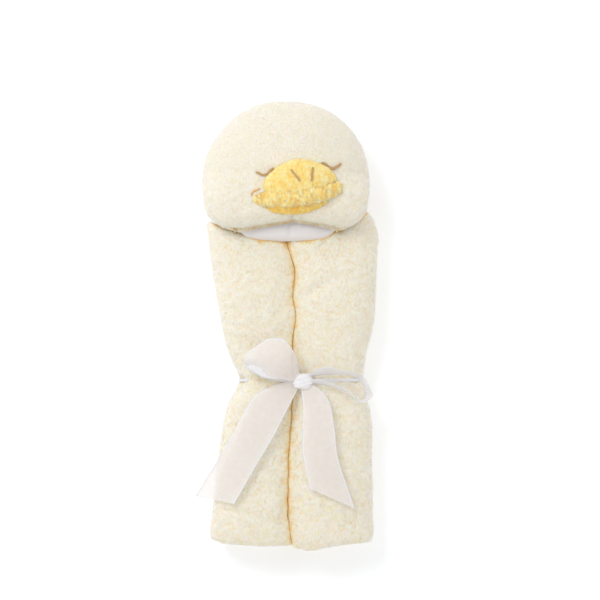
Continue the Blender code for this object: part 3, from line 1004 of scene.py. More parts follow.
        # Painted shade: the cloth darkens along the valley between the rolls, in the waist crease
        # and under the hood's chin, and its tufts give painted shade in their pits and a painted
        # highlight on top.
        valley = np.abs(outer[:, :, 0] - crease_x)
        valley_painted_shade = 0.80 * np.exp(-((valley / 5.5) ** 1.4))
        valley_painted_shade += 0.55 * np.exp(-((valley / 1.5) ** 2))
        crease = np.exp(-(((rows[:, 0:1] - self.tie_y) / 3.5) ** 2))
        shade = self.shade_at_chin(outer) * off_floor
        depth = 0.5 + 0.55 * tufts.reshape(count,
                                           columns) - 1.0 * valley_painted_shade - 0.3 * crease - 2.0 * shade
        ring = np.concatenate([outer, inner[:, ::-1]], axis=1)
        depths = np.concatenate([depth, np.full((count, columns), 0.4)], axis=1).reshape(-1)
        points = ring.reshape(-1, 3)
        sides = grid_faces(count, 2 * columns, True)
        faces = faces_out(points, [sides, *cloth_caps(count, columns)])
        towel = make_object("rolled_towel", points, faces, {"painted_shade_depth": depths})
        dress(towel, finishes.plush)
        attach(towel, "root")
        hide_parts("left_roll", "right_roll", "back_panel")
        skin = grid_faces(count, columns, False)
        face_middle = outer.reshape(-1, 3)[skin].mean(axis=1)
        seen = (shown[skin[:, 0] % columns] > 0.9) & (face_middle[:, 2] > 6.0)
        # Fibres stay off the painted shade in the valley and under the chin.
        seen &= (valley_painted_shade.reshape(-1)[skin[:, 0]] < 0.35) & (shade.reshape(-1)[skin[:, 0]] < 0.3)
        facing = np.einsum("ij,ij->i", np.cross(
            outer.reshape(-1, 3)[skin[:, 2]] - outer.reshape(-1, 3)[skin[:, 0]],
            outer.reshape(-1, 3)[skin[:, 3]] - outer.reshape(-1, 3)[skin[:, 1]]),
            normal.reshape(-1, 3)[skin[:, 0]])
        turned = skin if np.median(facing) > 0 else skin[:, ::-1]
        for side, half in (("left", face_middle[:, 0] < 3.0), ("right", face_middle[:, 0] >= 3.0)):
            keep = (seen & half).astype(float)
            seed = Seed.TOWEL.value + len(side)
            pile = self.pile.grow(side + "_roll_pile", outer.reshape(-1, 3), turned, keep, seed)
            dress(pile, finishes.fibre)
            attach(pile, "root")


# ---------------------------------------------------------------- the hood


@dataclass
class Hood:
    """The padded duck's head: plush over wadding, a white lining and the web at the neck."""

    middle_x: float = -3.2
    half_width: float = 90.0
    widest_y: float = 153.0
    crown_reach: float = 91.0
    chin_reach: float = 51.0
    crown_power: float = 2.12
    chin_power: float = 3.8
    chin_top_power: float = 4.6
    seam_y: float = 167.0
    back_mouth_y: float = 134.3
    front_mouth_y: float = 104.6
    notch_x: float = 3.4
    side_seam_z: float = 44.0
    chin_lift: float = 33.0
    lift_start_y: float = 170.0
    face_z: float = 101.0
    front_power: float = 2.25
    back_power: float = 2.7
    columns: int = 300
    pile_rows: int = 104
    pile: Pile = Pile(per_square_cm=20.0, length=1.5, radius=0.23, lean=(0.0, -0.1, 0.0))

    def seam_height(self, y: np.ndarray) -> np.ndarray:
        """The height of the middle line, which climbs over the rolls towards the chin."""
        run = (self.lift_start_y - y) / (self.lift_start_y - self.back_mouth_y)
        return self.side_seam_z + self.chin_lift * smooth_step(run)

    def fullness(self, y: np.ndarray, chin_power: float) -> np.ndarray:
        """How wide the hood is at y, from 0 at an end to 1 where it is widest.

        Args:
            y: Places along Y.
            chin_power: How squarely it ends at the chin.

        Returns:
            One share a place.
        """
        up = np.clip((y - self.widest_y) / self.crown_reach, 0, 1) ** self.crown_power
        down = np.clip((self.widest_y - y) / self.chin_reach, 0, 1) ** chin_power
        return np.where(y > self.widest_y, (1 - up) ** (1 / self.crown_power),
                        (1 - down) ** (1 / chin_power))

    def surface(self, y: np.ndarray, angle: np.ndarray, layer: float) -> np.ndarray:
        """Points of one layer of the hood.

        Args:
            y: Places along Y before the layer's own scale.
            angle: Turned from the right side seam over the front (0 to pi) and the back.
            layer: How far out from the middle line, 1 for the plush and less for inner layers.

        Returns:
            The points, in the shape of y with 3 values each.
        """
        middle = self.seam_height(y)
        sine = np.abs(np.sin(angle))
        front = np.sin(angle) >= 0
        top = self.side_seam_z + (self.face_z
                                  - self.side_seam_z) * self.fullness(y, self.chin_top_power)
        rounding = np.clip((y - self.mouth_y(angle)) / 20.0, 0.0, 1.0)
        rounding = 0.12 + 0.88 * (1 - (1 - rounding) ** 2.4) ** (1 / 2.4)
        depth_front = np.maximum(top - middle, 1.5) * rounding * sine ** (2 / self.front_power)
        sag = np.minimum(1.0, 1.05 * self.fullness(y, self.chin_top_power)
                         * sine ** (2 / self.back_power))
        width_power = np.where(front, 2 / self.front_power, 2 / self.back_power)
        across = self.half_width * self.fullness(y, self.chin_power) * np.sign(np.cos(angle))
        across = across * np.abs(np.cos(angle)) ** width_power
        wall = (layer - 1.0) * 13.0 * np.sqrt(sine) * (1.0 - np.clip((y - 120.0) / 30.0, 0.0, 1.0))
        z = middle + np.where(front, layer * depth_front + wall, -layer * middle * sag)
        along = self.widest_y + (y - self.widest_y) * np.where(y > self.widest_y, layer, 1.0)
        return np.stack([self.middle_x + layer * across, along, z], axis=-1)

    def mouth_y(self, angle: np.ndarray) -> np.ndarray:
        """Where the hood ends towards the towel: at the chin in front and further back behind.

        Args:
            angle: Angles round the hood.

        Returns:
            One place along Y an angle.
        """
        behind = np.clip(-np.sin(angle), 0.0, 1.0)
        across = self.middle_x + 58.0 * signed_power(np.cos(angle), 2 / self.front_power)
        notch = 9.4 * np.clip(1.0 - np.abs(across - self.notch_x) / 50.0, 0.0, 1.0) ** 1.1
        notch = notch * smooth_step(np.sin(angle) * 3.0)
        return self.front_mouth_y + notch + (self.back_mouth_y
                                             - self.front_mouth_y) * smooth_step(behind * 2.2)

    def wall(self) -> tuple[np.ndarray, np.ndarray, np.ndarray]:
        """The padded wall as rows from the crown outside, round the lip, to the crown inside.

        Returns:
            The rows of points, how plush each row is, and its share of the way from crown to mouth.
        """
        angle = np.linspace(0, 2 * math.pi, self.columns, endpoint=False)[None]
        mouth = self.mouth_y(angle)
        crown = self.widest_y + self.crown_reach
        outer_share = np.concatenate([1 - np.cos(np.linspace(0.02, 0.5 * math.pi, 56)),
                                      np.linspace(1.0, 2.0, 44)[1:]])
        outer_share = outer_share / outer_share[-1]
        rows = [(share, 1.0, 0.0) for share in outer_share[:-1]]
        lip = np.linspace(0.0, math.pi, 12)
        rows += [(1.0, 0.955 + 0.045 * math.cos(a), math.sin(a)) for a in lip]
        inner = [(s, 0.72 + 0.19 * float(smooth_step(np.array((s - 0.80) / 0.2))))
                 for s in outer_share[::-4][1:-1]]
        rows += [(share, layer, 0.0) for share, layer in inner]
        grid = []
        for share, layer, bulge in rows:
            y = crown + (mouth - crown) * share
            place = self.surface(y, angle, layer)
            place[..., 1] -= 2.0 * bulge
            grid.append(place[0])
        plush = np.array([1.0 if layer > 0.96 else 0.0 for _, layer, _ in rows])
        return np.array(grid), plush, np.array([share for share, _, _ in rows])

    def seams(self, places: np.ndarray) -> np.ndarray:
        """How deep the sewn lines pull the plush in: at eye level, down the chin, round the sides.

        Args:
            places: Places, n by 3.

        Returns:
            One height a place.
        """
        x, y, z = places.T
        front = smooth_step((z - self.seam_height(y) - 2.0) / 6.0)
        bow = 2.0 * np.cos((x - self.middle_x) / 34.0)
        across = -1.0 * np.exp(-(((y - self.seam_y - bow) / 4.2) ** 2)) * front
        pad = 1.1 * np.exp(-(((y - self.seam_y + 16.0) / 14.0) ** 2)) * front
        chin = smooth_step((128.0 - y) / 8.0) * front
        down = -2.4 * np.exp(-(((x - self.notch_x) / 2.6) ** 2)) * chin
        side = -1.4 * np.exp(-(((z - self.seam_height(y)) / 2.4) ** 2))
        return across + pad + down + side

    def build(self, finishes: Finishes) -> None:
        """Makes the wall, its pile, the lining, the throat and the neck web.

        Args:
            finishes: Every material.
        """
        grid, plush, share = self.wall()
        rows, columns = grid.shape[:2]
        normal = grid_normals(grid, True)
        centre = np.array([self.middle_x, self.widest_y, 60.0])
        outward = np.einsum("rck,rck->rc", normal[:30], grid[:30] - centre).mean()
        normal *= math.copysign(1.0, outward)
        flat = grid.reshape(-1, 3)
        cheek = smooth_step((self.seam_y + 6.0 - flat[:, 1]) / 14.0)
        tufts = layered_noise(flat, ((6.5, 0.18), (4.0, 0.36), (2.6, 0.32)), Seed.HOOD.value)
        tufts *= 0.30 + 0.75 * cheek - 0.18 * smooth_step((flat[:, 1] - 195.0) / 25.0)
        lumps = layered_noise(flat, ((60.0, 1.6), (26.0, 0.7)), Seed.HOOD.value + 3)
        lumps *= smooth_step((1.0 - np.repeat(share, columns)) / 0.12)
        off_floor = smooth_step((flat[:, 2] - 1.0) / 9.0)
        lift = (tufts + lumps + self.seams(flat)) * off_floor * np.repeat(plush, columns)
        points = flat + normal.reshape(-1, 3) * lift[:, None]
        points[:, 2] = np.maximum(points[:, 2], 0.2)
        crown_out = points[:columns].mean(axis=0)
        crown_in = points[-columns:].mean(axis=0)
        total = np.vstack([points, crown_out, crown_in])
        faces = faces_out(total, [grid_faces(rows, columns, True), *pole_fans(rows, columns)])
        # Painted shade on the plush's lip at the chin and in the pits between its tufts, with a
        # painted highlight on them.
        front = smooth_step((flat[:, 2] - self.seam_height(flat[:, 1]) + 8.0) / 5.0)
        edge = np.clip((np.repeat(share, columns) - 0.980) / 0.020, 0.0, 1.0) * front
        depth = np.append(0.5 + 0.6 * tufts - 1.0 * edge, [0.5, 0.5])
        head = make_object("hood_head", total, faces, {"painted_shade_depth": depth})
        dress(head, finishes.hood_plush)
        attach(head, "hood")
        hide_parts("crown_panel", "left_cheek_panel", "right_cheek_panel", "hood_back_panel",
                    "front_wadding", "back_wadding")
        skin = faces[0]
        skin = skin[skin.max(axis=1) < self.pile_rows * columns]
        middle = total[skin].mean(axis=1)
        keep = np.where(middle[:, 2] > self.seam_height(middle[:, 1]) - 22.0, 1.0,
                        0.3) * (middle[:, 2] > 4.0)
        pile = self.pile.grow("hood_pile", total, skin, keep, Seed.HOOD.value)
        dress(pile, finishes.fibre)
        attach(pile, "hood")
        self.build_lining(finishes)
        self.build_throat(finishes)
        self.build_neck(finishes)

    def build_lining(self, finishes: Finishes) -> None:
        """The white lining of the pocket, a thin bag just inside the wall.

        Args:
            finishes: Every material.
        """
        angle = np.linspace(0, 2 * math.pi, 96, endpoint=False)[None]
        crown = self.widest_y + self.crown_reach
        mouth = self.mouth_y(angle) + 3.0
        shares = np.sin(np.linspace(0.03, 0.5 * math.pi, 26)) ** 1.3
        layers = 0.705 + 0.13 * smooth_step((shares - 0.80) / 0.2)
        grid = np.array([self.surface(crown + (mouth - crown) * s, angle, layer)[0] for s,
                         layer in zip(shares, layers)])
        flat = grid.reshape(-1, 3)
        inward = np.array([self.middle_x, self.widest_y, 60.0]) - flat
        inward /= np.linalg.norm(inward, axis=1, keepdims=True)
        flat = flat + inward * (0.8 + 0.9 * lattice_noise(flat, 14.0, Seed.LINING.value))[:, None]
        thick = np.vstack([flat, flat + inward * 0.9])
        rows, columns = grid.shape[:2]
        sheet = grid_faces(rows, columns, True)
        back = sheet[:, ::-1] + len(flat)
        j = np.arange(columns)
        k = (j + 1) % columns
        rims = []
        for start in (0, (rows - 1) * columns):
            rims.append(np.stack([start + j, start + k, len(flat) + start + k, len(flat) + start
                                  + j], 1))
        rims[0] = rims[0][:, ::-1]
        lining = make_object("hood_lining", thick,
                             faces_out(thick, [sheet, back, rims[1], rims[0]]), {})
        dress(lining, finishes.jersey)
        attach(lining, "hood")
        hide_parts("front_lining", "back_lining")

    def build_throat(self, finishes: Finishes) -> None:
        """The puffed end of the lining between the chin and the tops of the rolls.

        Args:
            finishes: Every material.
        """
        rows = np.array((
            # along Y, half width, underside, top
            (91.5, 26.0, 46.0, 53.0),
            (93.0, 34.0, 46.0, 61.0),
            (96.5, 44.0, 48.0, 66.5),
            (102.0, 51.0, 50.0, 69.5),
            (109.0, 54.5, 50.0, 71.0),
            (122.0, 55.0, 50.0, 71.0),
            (140.0, 52.0, 46.0, 68.0),
            (150.0, 40.0, 44.0, 60.0),
        ))
        table = smooth_curve(rows, 60)
        angle = np.linspace(0, 2 * math.pi, 120, endpoint=False)
        grid = []
        for y, half, low, top in table:
            x = self.middle_x + 1.0 + half * np.cos(angle)
            z = 0.5 * (low + top) + 0.5 * (top - low) * signed_power(np.sin(angle), 0.8)
            grid.append(np.stack([x, np.full_like(x, y), z], axis=1))
        grid = np.array(grid)
        flat = grid.reshape(-1, 3)
        upper = (np.sin(np.tile(angle, len(grid))) > 0).astype(float)
        crease = -2.6 * np.exp(-(((flat[:, 0] - self.middle_x - 4.0) / 2.4) ** 2))
        ripple = 0.9 * lattice_noise(flat * np.array([1.0, 0.4, 1.0]), 11.0, Seed.LINING.value)
        flat[:, 2] += upper * (crease + ripple)
        rows_count, columns = grid.shape[:2]
        faces = faces_out(flat, [grid_faces(rows_count, columns, True),
                                 *tube_caps(rows_count, columns)])
        throat = make_object("throat_lining_cloth", flat, faces, {})
        dress(throat, finishes.jersey)
        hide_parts("throat_lining")
        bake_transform(throat)

    def build_neck(self, finishes: Finishes) -> None:
        """The plush web that carries the towel's end into the mouth of the hood, in a darker copy
        of the plush that paints the shade of that hollow.

        Args:
            finishes: Every material.
        """
        places = np.linspace(104.0, 160.0, 44)
        angle = np.linspace(0, 2 * math.pi, 200, endpoint=False)
        grid = []
        for y in places:
            wide = np.interp(y, (104, 118, 132, 160), (72.0, 76.0, 80.0, 66.0))
            low = np.interp(y, (104, 118, 140, 160), (1.2, 1.0, 3.0, 9.0))
            top = np.interp(y, (104, 118, 140, 160), (50.0, 50.0, 56.0, 52.0))
            x = self.middle_x + 3.0 + wide * signed_power(np.cos(angle), 0.8)
            z = 0.5 * (low + top) + 0.5 * (top - low) * signed_power(np.sin(angle), 0.75)
            grid.append(np.stack([x, np.full_like(x, y), z], axis=1))
        grid = np.array(grid)
        flat = grid.reshape(-1, 3)
        middle = np.array([self.middle_x, 0.0, 28.0])
        outward = (flat - middle) * np.array([1.0, 0.0, 1.0])
        outward /= np.linalg.norm(outward, axis=1, keepdims=True)
        gathers = layered_noise(flat * np.array([1.0, 0.2, 1.0]), ((9.0, 0.9), (3.5, 0.5)),
                                Seed.HOOD.value + 9)
        flat = flat + outward * (gathers - 0.8)[:, None]
        flat[:, 2] = np.maximum(flat[:, 2], 0.3)
        rows, columns = grid.shape[:2]
        faces = faces_out(flat, [grid_faces(rows, columns, True), *tube_caps(rows, columns)])
        neck = make_object("neck_web", flat, faces, {"painted_shade_depth": 0.5 + 0.4 * gathers})
        dress(neck, finishes.painted_shade_plush)
        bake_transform(neck)

    def face_height(self, x: float, y: float) -> float:
        """The height of the face over a point, in millimetres.

        Args:
            x: Across.
            y: Along.

        Returns:
            The height.
        """
        place = np.array([y])
        middle = float(self.seam_height(place)[0])
        full = float(self.fullness(place, self.chin_top_power)[0])
        depth = self.side_seam_z + (self.face_z - self.side_seam_z) * full - middle
        wide = self.half_width * float(self.fullness(place, self.chin_power)[0])
        across = min(abs(x - self.middle_x) / wide, 1.0)
        return middle + depth * (1 - across**self.front_power) ** (1 / self.front_power)


# ---------------------------------------------------------------- the beak and the stitches


@dataclass(frozen=True)
class Bill:
    """One padded half of the beak, a squashed ball with a pointed or a blunt outline."""

    name: str
    node: str
    centre: Point
    radii: Point
    turn_degrees: float
    power: float
    droop: float
    smile: float
    tufts: float

    def outline_scale(self, angle: np.ndarray) -> np.ndarray:
        """How far out the outline lies at each angle, where a circle's is 1."""
        return (np.abs(np.cos(angle)) ** self.power
                + np.abs(np.sin(angle)) ** self.power) ** (-1 / self.power)

    def surface(self, angle: np.ndarray, rise: np.ndarray) -> np.ndarray:
        """Points over the ball.

        Args:
            angle: Turned round the ball as seen from above.
            rise: From its rim to its top.

        Returns:
            The points, with 3 values each.
        """
        reach = self.outline_scale(angle)
        x = reach * np.cos(angle) * np.cos(rise) * self.radii[0]
        y = reach * np.sin(angle) * np.cos(rise) * self.radii[1]
        z = np.sin(rise) * self.radii[2]
        y = y + self.smile * (x / self.radii[0]) ** 2
        z = z - self.droop * (x / self.radii[0]) ** 2
        turn = math.radians(self.turn_degrees)
        turned_x = x * math.cos(turn) - y * math.sin(turn)
        turned_y = x * math.sin(turn) + y * math.cos(turn)
        return np.stack([turned_x, turned_y, z], axis=-1) + np.array(self.centre)

    def height(self, x: float, y: float) -> float:
        """The height of its top over a point, in millimetres.

        Args:
            x: Across.
            y: Along.

        Returns:
            The height.
        """
        turn = math.radians(-self.turn_degrees)
        dx, dy = x - self.centre[0], y - self.centre[1]
        px = dx * math.cos(turn) - dy * math.sin(turn)
        py = dx * math.sin(turn) + dy * math.cos(turn)
        py -= self.smile * (px / self.radii[0]) ** 2
        reach = float(self.outline_scale(np.array([math.atan2(py / self.radii[1],
                                                              px / self.radii[0])]))[0])
        out = math.hypot(px / self.radii[0], py / self.radii[1]) / reach
        drop = self.droop * (px / self.radii[0]) ** 2
        return self.centre[2] + self.radii[2] * math.sqrt(max(1 - out * out, 0)) - drop

    def build(self, finishes: Finishes, pile: Pile, finish: bpy.types.Material) -> None:
        """Makes the bill and its shaggy pile.

        Args:
            finishes: Every material.
            pile: The fibres it carries.
            finish: The plush of the bill itself.
        """
        columns, rows = 220, 76
        angle = np.linspace(0, 2 * math.pi, columns, endpoint=False)[None]
        rise = np.linspace(-0.5 * math.pi + 0.04, 0.5 * math.pi - 0.04, rows)[:, None]
        grid = self.surface(angle + 0 * rise, rise + 0 * angle)
        flat = grid.reshape(-1, 3)
        normal = grid_normals(grid, True).reshape(-1, 3)
        outward = np.einsum("ij,ij->i", normal, flat - np.array(self.centre)).mean()
        normal *= math.copysign(1.0, outward)
        drawn = flat * np.array([1.0, 0.55, 0.55])
        fuzz = layered_noise(drawn, ((7.0, 0.6), (3.0, 1.0), (1.8, 0.5)),
                             Seed.BEAK.value) * self.tufts
        points = flat + normal * fuzz[:, None]
        total = np.vstack([points, points[:columns].mean(axis=0), points[-columns:].mean(axis=0)])
        faces = faces_out(total, [grid_faces(rows, columns, True), *pole_fans(rows, columns)])
        # Painted shade in the pits between the shaggy tufts and a painted highlight on them.
        depth = np.append(0.42 + 0.65 * fuzz, [0.5, 0.5])
        bill = make_object(self.name, total, faces, {"painted_shade_depth": depth})
        dress(bill, finish)
        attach(bill, "hood")
        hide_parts(self.node)
        keep = (total[faces[0]].mean(axis=1)[:, 2] > self.centre[2] - 2.0).astype(float)
        fur = pile.grow(self.name + "_pile", total, faces[0], keep, Seed.BEAK.value)
        dress(fur, finishes.beak_fibre)
        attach(fur, "hood")


@dataclass
class Beak:
    """The two bills, sewn over the seam of the face."""

    upper: Bill = Bill("upper_bill_plush", "upper_bill", (10.2, 155.5, 97.0), (41.5, 25.5, 18.5),
                       6.5, 1.66, 2.0, 0.0, 0.5)
    lower: Bill = Bill("lower_bill_plush", "lower_bill", (6.5, 137.0, 97.0), (43.0, 16.5, 12.5),
                       5.0, 2.05, 4.0, 3.0, 0.5)
    upper_pile: Pile = Pile(per_square_cm=12.0, length=1.8, radius=0.34, lean=(0.0, -0.2, 0.0),
                            spread=0.35)
    rim_pile: Pile = Pile(per_square_cm=14.0, length=3.4, radius=0.55, lean=(0.0, -0.8, 0.0),
                          spread=0.30)
    lower_pile: Pile = Pile(per_square_cm=12.0, length=2.0, radius=0.34, lean=(0.0, -0.35, 0.0),
                            spread=0.4)
    rim_line: tuple = (
        # the middle line of the rim from its left corner, and its radius
        (-41.5, 138.5, 89.0, 2.8),
        (-38.0, 137.6, 93.0, 5.6),
        (-26.0, 137.2, 100.6, 7.0),
        (-8.0, 137.6, 106.2, 8.0),
        (10.0, 139.0, 108.6, 8.4),
        (28.0, 142.0, 106.8, 8.2),
        (43.0, 146.0, 100.8, 7.6),
        (52.0, 149.6, 95.0, 6.4),
        (56.0, 151.4, 91.0, 3.4),
    )
    rim_flatness: float = 1.12
    rim_rows: int = 150
    rim_columns: int = 72

    def build_rim(self, finishes: Finishes) -> None:
        """The looped rim where the upper bill folds over, a bent roll from corner to corner.

        Args:
            finishes: Every material.
        """
        line = smooth_curve(np.array(self.rim_line), self.rim_rows)
        ahead = np.gradient(line[:, :3], axis=0)
        ahead /= np.linalg.norm(ahead, axis=1, keepdims=True)
        side = np.cross(ahead, np.array([0.0, 0.0, 1.0]))
        side /= np.linalg.norm(side, axis=1, keepdims=True)
        up = np.cross(side, ahead)
        angle = np.linspace(0, 2 * math.pi, self.rim_columns, endpoint=False)
        around = self.rim_flatness * np.cos(angle)[None, :, None] * side[:, None]
        around = around + np.sin(angle)[None, :, None] * up[:, None]
        flat = (line[:, None, :3] + line[:, None, 3:] * around).reshape(-1, 3)
        drawn = flat * np.array([1.0, 0.34, 0.34])
        fuzz = layered_noise(drawn, ((3.6, 0.5), (1.9, 0.9)), Seed.BEAK.value + 2)
        points = flat + around.reshape(-1, 3) * fuzz[:, None]
        rows, columns = self.rim_rows, self.rim_columns
        faces = faces_out(points, [grid_faces(rows, columns, True), *tube_caps(rows, columns)])
        # Painted shade between the rim's loops, with a painted highlight on them.
        rim = make_object("bill_rim_plush", points, faces, {"painted_shade_depth": 0.34 + 0.75 * fuzz})
        dress(rim, finishes.beak)
        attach(rim, "hood")
        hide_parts("upper_bill")
        keep = (around.reshape(-1, 3)[faces[0]].mean(axis=1)[:, 2] > -0.35).astype(float)
        fur = self.rim_pile.grow("bill_rim_pile", points, faces[0], keep, Seed.BEAK.value + 5)
        dress(fur, finishes.rim_fibre)
        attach(fur, "hood")

    def build(self, finishes: Finishes) -> None:
        """Makes both bills and the looped rim where the upper one folds over.

        Args:
            finishes: Every material.
        """
        self.upper.build(finishes, self.upper_pile, finishes.beak)
        self.build_rim(finishes)
        self.lower.build(finishes, self.lower_pile, finishes.beak_under)
        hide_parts("beak_stuffing")


@dataclass
class Stitching:
    """The closed eyes and the nostrils, in twisted brown thread, and orange strands that paint the
    shadow at the beak's left corner.
    """

    hood: Hood
    beak: Beak
    radius: float = 1.5
    eyes: dict = field(default_factory=lambda: {
        "left_eye_stitch": ((-36.0, 166.6), (-31.0, 164.2), (-26.8, 163.0), (-22.7, 165.0),
                            (-19.0, 168.8), (-16.5, 170.8)),
        "right_eye_stitch": ((35.2, 176.9), (40.2, 174.6), (44.0, 171.4), (48.0, 170.2),
                             (52.0, 172.3), (57.0, 175.8)),
    })
    nostrils: dict = field(default_factory=lambda: {
        "left_nostril_stitch": ((1.8, 169.3), (7.0, 162.7), (12.0, 156.2)),
        "right_nostril_stitch": ((26.0, 171.6), (25.0, 164.0), (24.6, 156.2)),
    })
    # Three short orange strands at the beak's left corner, a painted shadow.
    corner: tuple = (((-39.5, 144.0), (-36.0, 147.0)), ((-36.5, 145.5), (-31.5, 148.6)),
                     ((-41.0, 141.0), (-39.0, 144.5)))

    def thread(self, name: str, route: tuple, height: object, lift: float,
               share: float = 1.0) -> bpy.types.Object:
        """One stitched line as three strands twisted round each other.

        Args:
            name: The line's name.
            route: Its points from above, in millimetres.
            height: A function that gives the surface's height over a point.
            lift: How far the line stands above that surface.
            share: Its thickness against the usual one.

        Returns:
            The thread.
        """
        path = smooth_curve(np.array(route), 40)
        line = np.array([(x, y, height(x, y) + lift) for x, y in path])
        ahead = np.gradient(line, axis=0)
        ahead /= np.linalg.norm(ahead, axis=1, keepdims=True)
        side = np.cross(ahead, np.array([0.0, 0.0, 1.0]))
        side /= np.linalg.norm(side, axis=1, keepdims=True)
        up = np.cross(side, ahead)
        taper = share * np.sqrt(np.clip(np.sin(np.linspace(0.12, math.pi - 0.12, len(line))) * 2.2,
                                        0.3, 1.0))
        count, points, faces = 8, [], []
        for strand in range(3):
            phase = 2 * math.pi * strand / 3 + np.linspace(0, 7.0, len(line))
            centre = line + (self.radius * 0.55 * taper)[:, None] * (
                np.cos(phase)[:, None] * side + np.sin(phase)[:, None] * up)
            start = len(points) * count
            for k in range(len(line)):
                turn = np.linspace(0, 2 * math.pi, count, endpoint=False)[:, None]
                ring = centre[k] + self.radius * 0.62 * taper[k] * (np.cos(turn) * side[k]
                                                                    + np.sin(turn) * up[k])
                points.append(ring)
            faces.append(grid_faces(len(line), count, True) + start)
            caps = np.array([[start + i for i in range(count)],
                             [start + (len(line) - 1) * count + i for i in range(count)]])
            caps[0] = caps[0][::-1]
            faces.append(caps)
        total = np.vstack(points)
        thread = make_object(name + "_thread", total, faces_out(total, faces), {})
        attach(thread, "hood")
        return thread

    def build(self, finishes: Finishes) -> None:
        """Makes the eyes, the nostrils and the small orange strands at the beak's left corner, a
        painted shadow.

        Args:
            finishes: Every material.
        """
        for routes, height, lift, share in ((self.eyes, self.hood.face_height, 1.7, 0.85),
                                            (self.nostrils, self.beak.upper.height, 1.2, 0.66)):
            for name, route in routes.items():
                line = self.thread(name, route, height, lift, share)
                dress(line, finishes.brown)
                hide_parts(name)
        # Painted shadow at the beak's left corner, in orange strands.
        for number, route in enumerate(self.corner):
            line = self.thread(f"corner_stitch_{number}", route, self.hood.face_height, 1.6, 0.6)
            dress(line, finishes.painted_shadow_orange)


# ---------------------------------------------------------------- the ribbon


@dataclass(frozen=True)
class Strip:
    """A length of ribbon between two edges, given by points along each."""

    name: str
    node: str
    body: str
    first_edge: tuple[Point, ...]
    second_edge: tuple[Point, ...]
    flat: tuple[float, float]
    bulge: float = 1.5
    ripple: float = 0.7
    held: str = "draped"
    bend: tuple = ()

    def grid(self) -> np.ndarray:
        """The strip's middle surface.

        Returns:
            Points, rows along it and columns across.
        """
        one = smooth_curve(np.array(self.first_edge), 130)
        two = smooth_curve(np.array(self.second_edge), 130)
        share = np.linspace(0.0, 1.0, 33)[None, :, None]
        surface = one[:, None] * (1 - share) + two[:, None] * share
        normal = grid_normals(surface, False)
        normal *= np.sign(normal[..., 2:3] + 1e-6)
        arch = np.sin(math.pi * share) * self.bulge
        flat = surface.reshape(-1, 3)
        layers = ((17.0, self.ripple), (7.0, 0.3 * self.ripple))
        wave = layered_noise(flat * np.array([1.0, 0.5, 0.5]), layers, Seed.RIBBON.value)
        return surface + normal * (arch + wave.reshape(surface.shape[:2])[..., None])

    def build(self, material: bpy.types.Material) -> bpy.types.Object:
        """Makes the strip and fixes it to its body, or, where it has a bend, only bakes its place
        into its mesh.

        Args:
            material: The ribbon's finish.

        Returns:
            The strip.
        """
        surface = self.grid()
        normal = grid_normals(surface, False)
        rows, columns = surface.shape[:2]
        upper = surface + 0.13 * normal
        lower = surface - 0.13 * normal
        ring = np.concatenate([upper, lower[:, ::-1]], axis=1)
        points = ring.reshape(-1, 3)
        faces = faces_out(points, [grid_faces(rows, 2 * columns, True), *cloth_caps(rows, columns)])
        across = np.abs(np.linspace(-1, 1, columns))
        edge = np.tile(np.concatenate([across, across[::-1]]), rows)
        strip = make_object(self.name, points, faces, {"edge": edge})
        dress(strip, material)
        if self.bend:
            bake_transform(strip)
        else:
            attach(strip, self.body)
        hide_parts(self.node)
        return strip


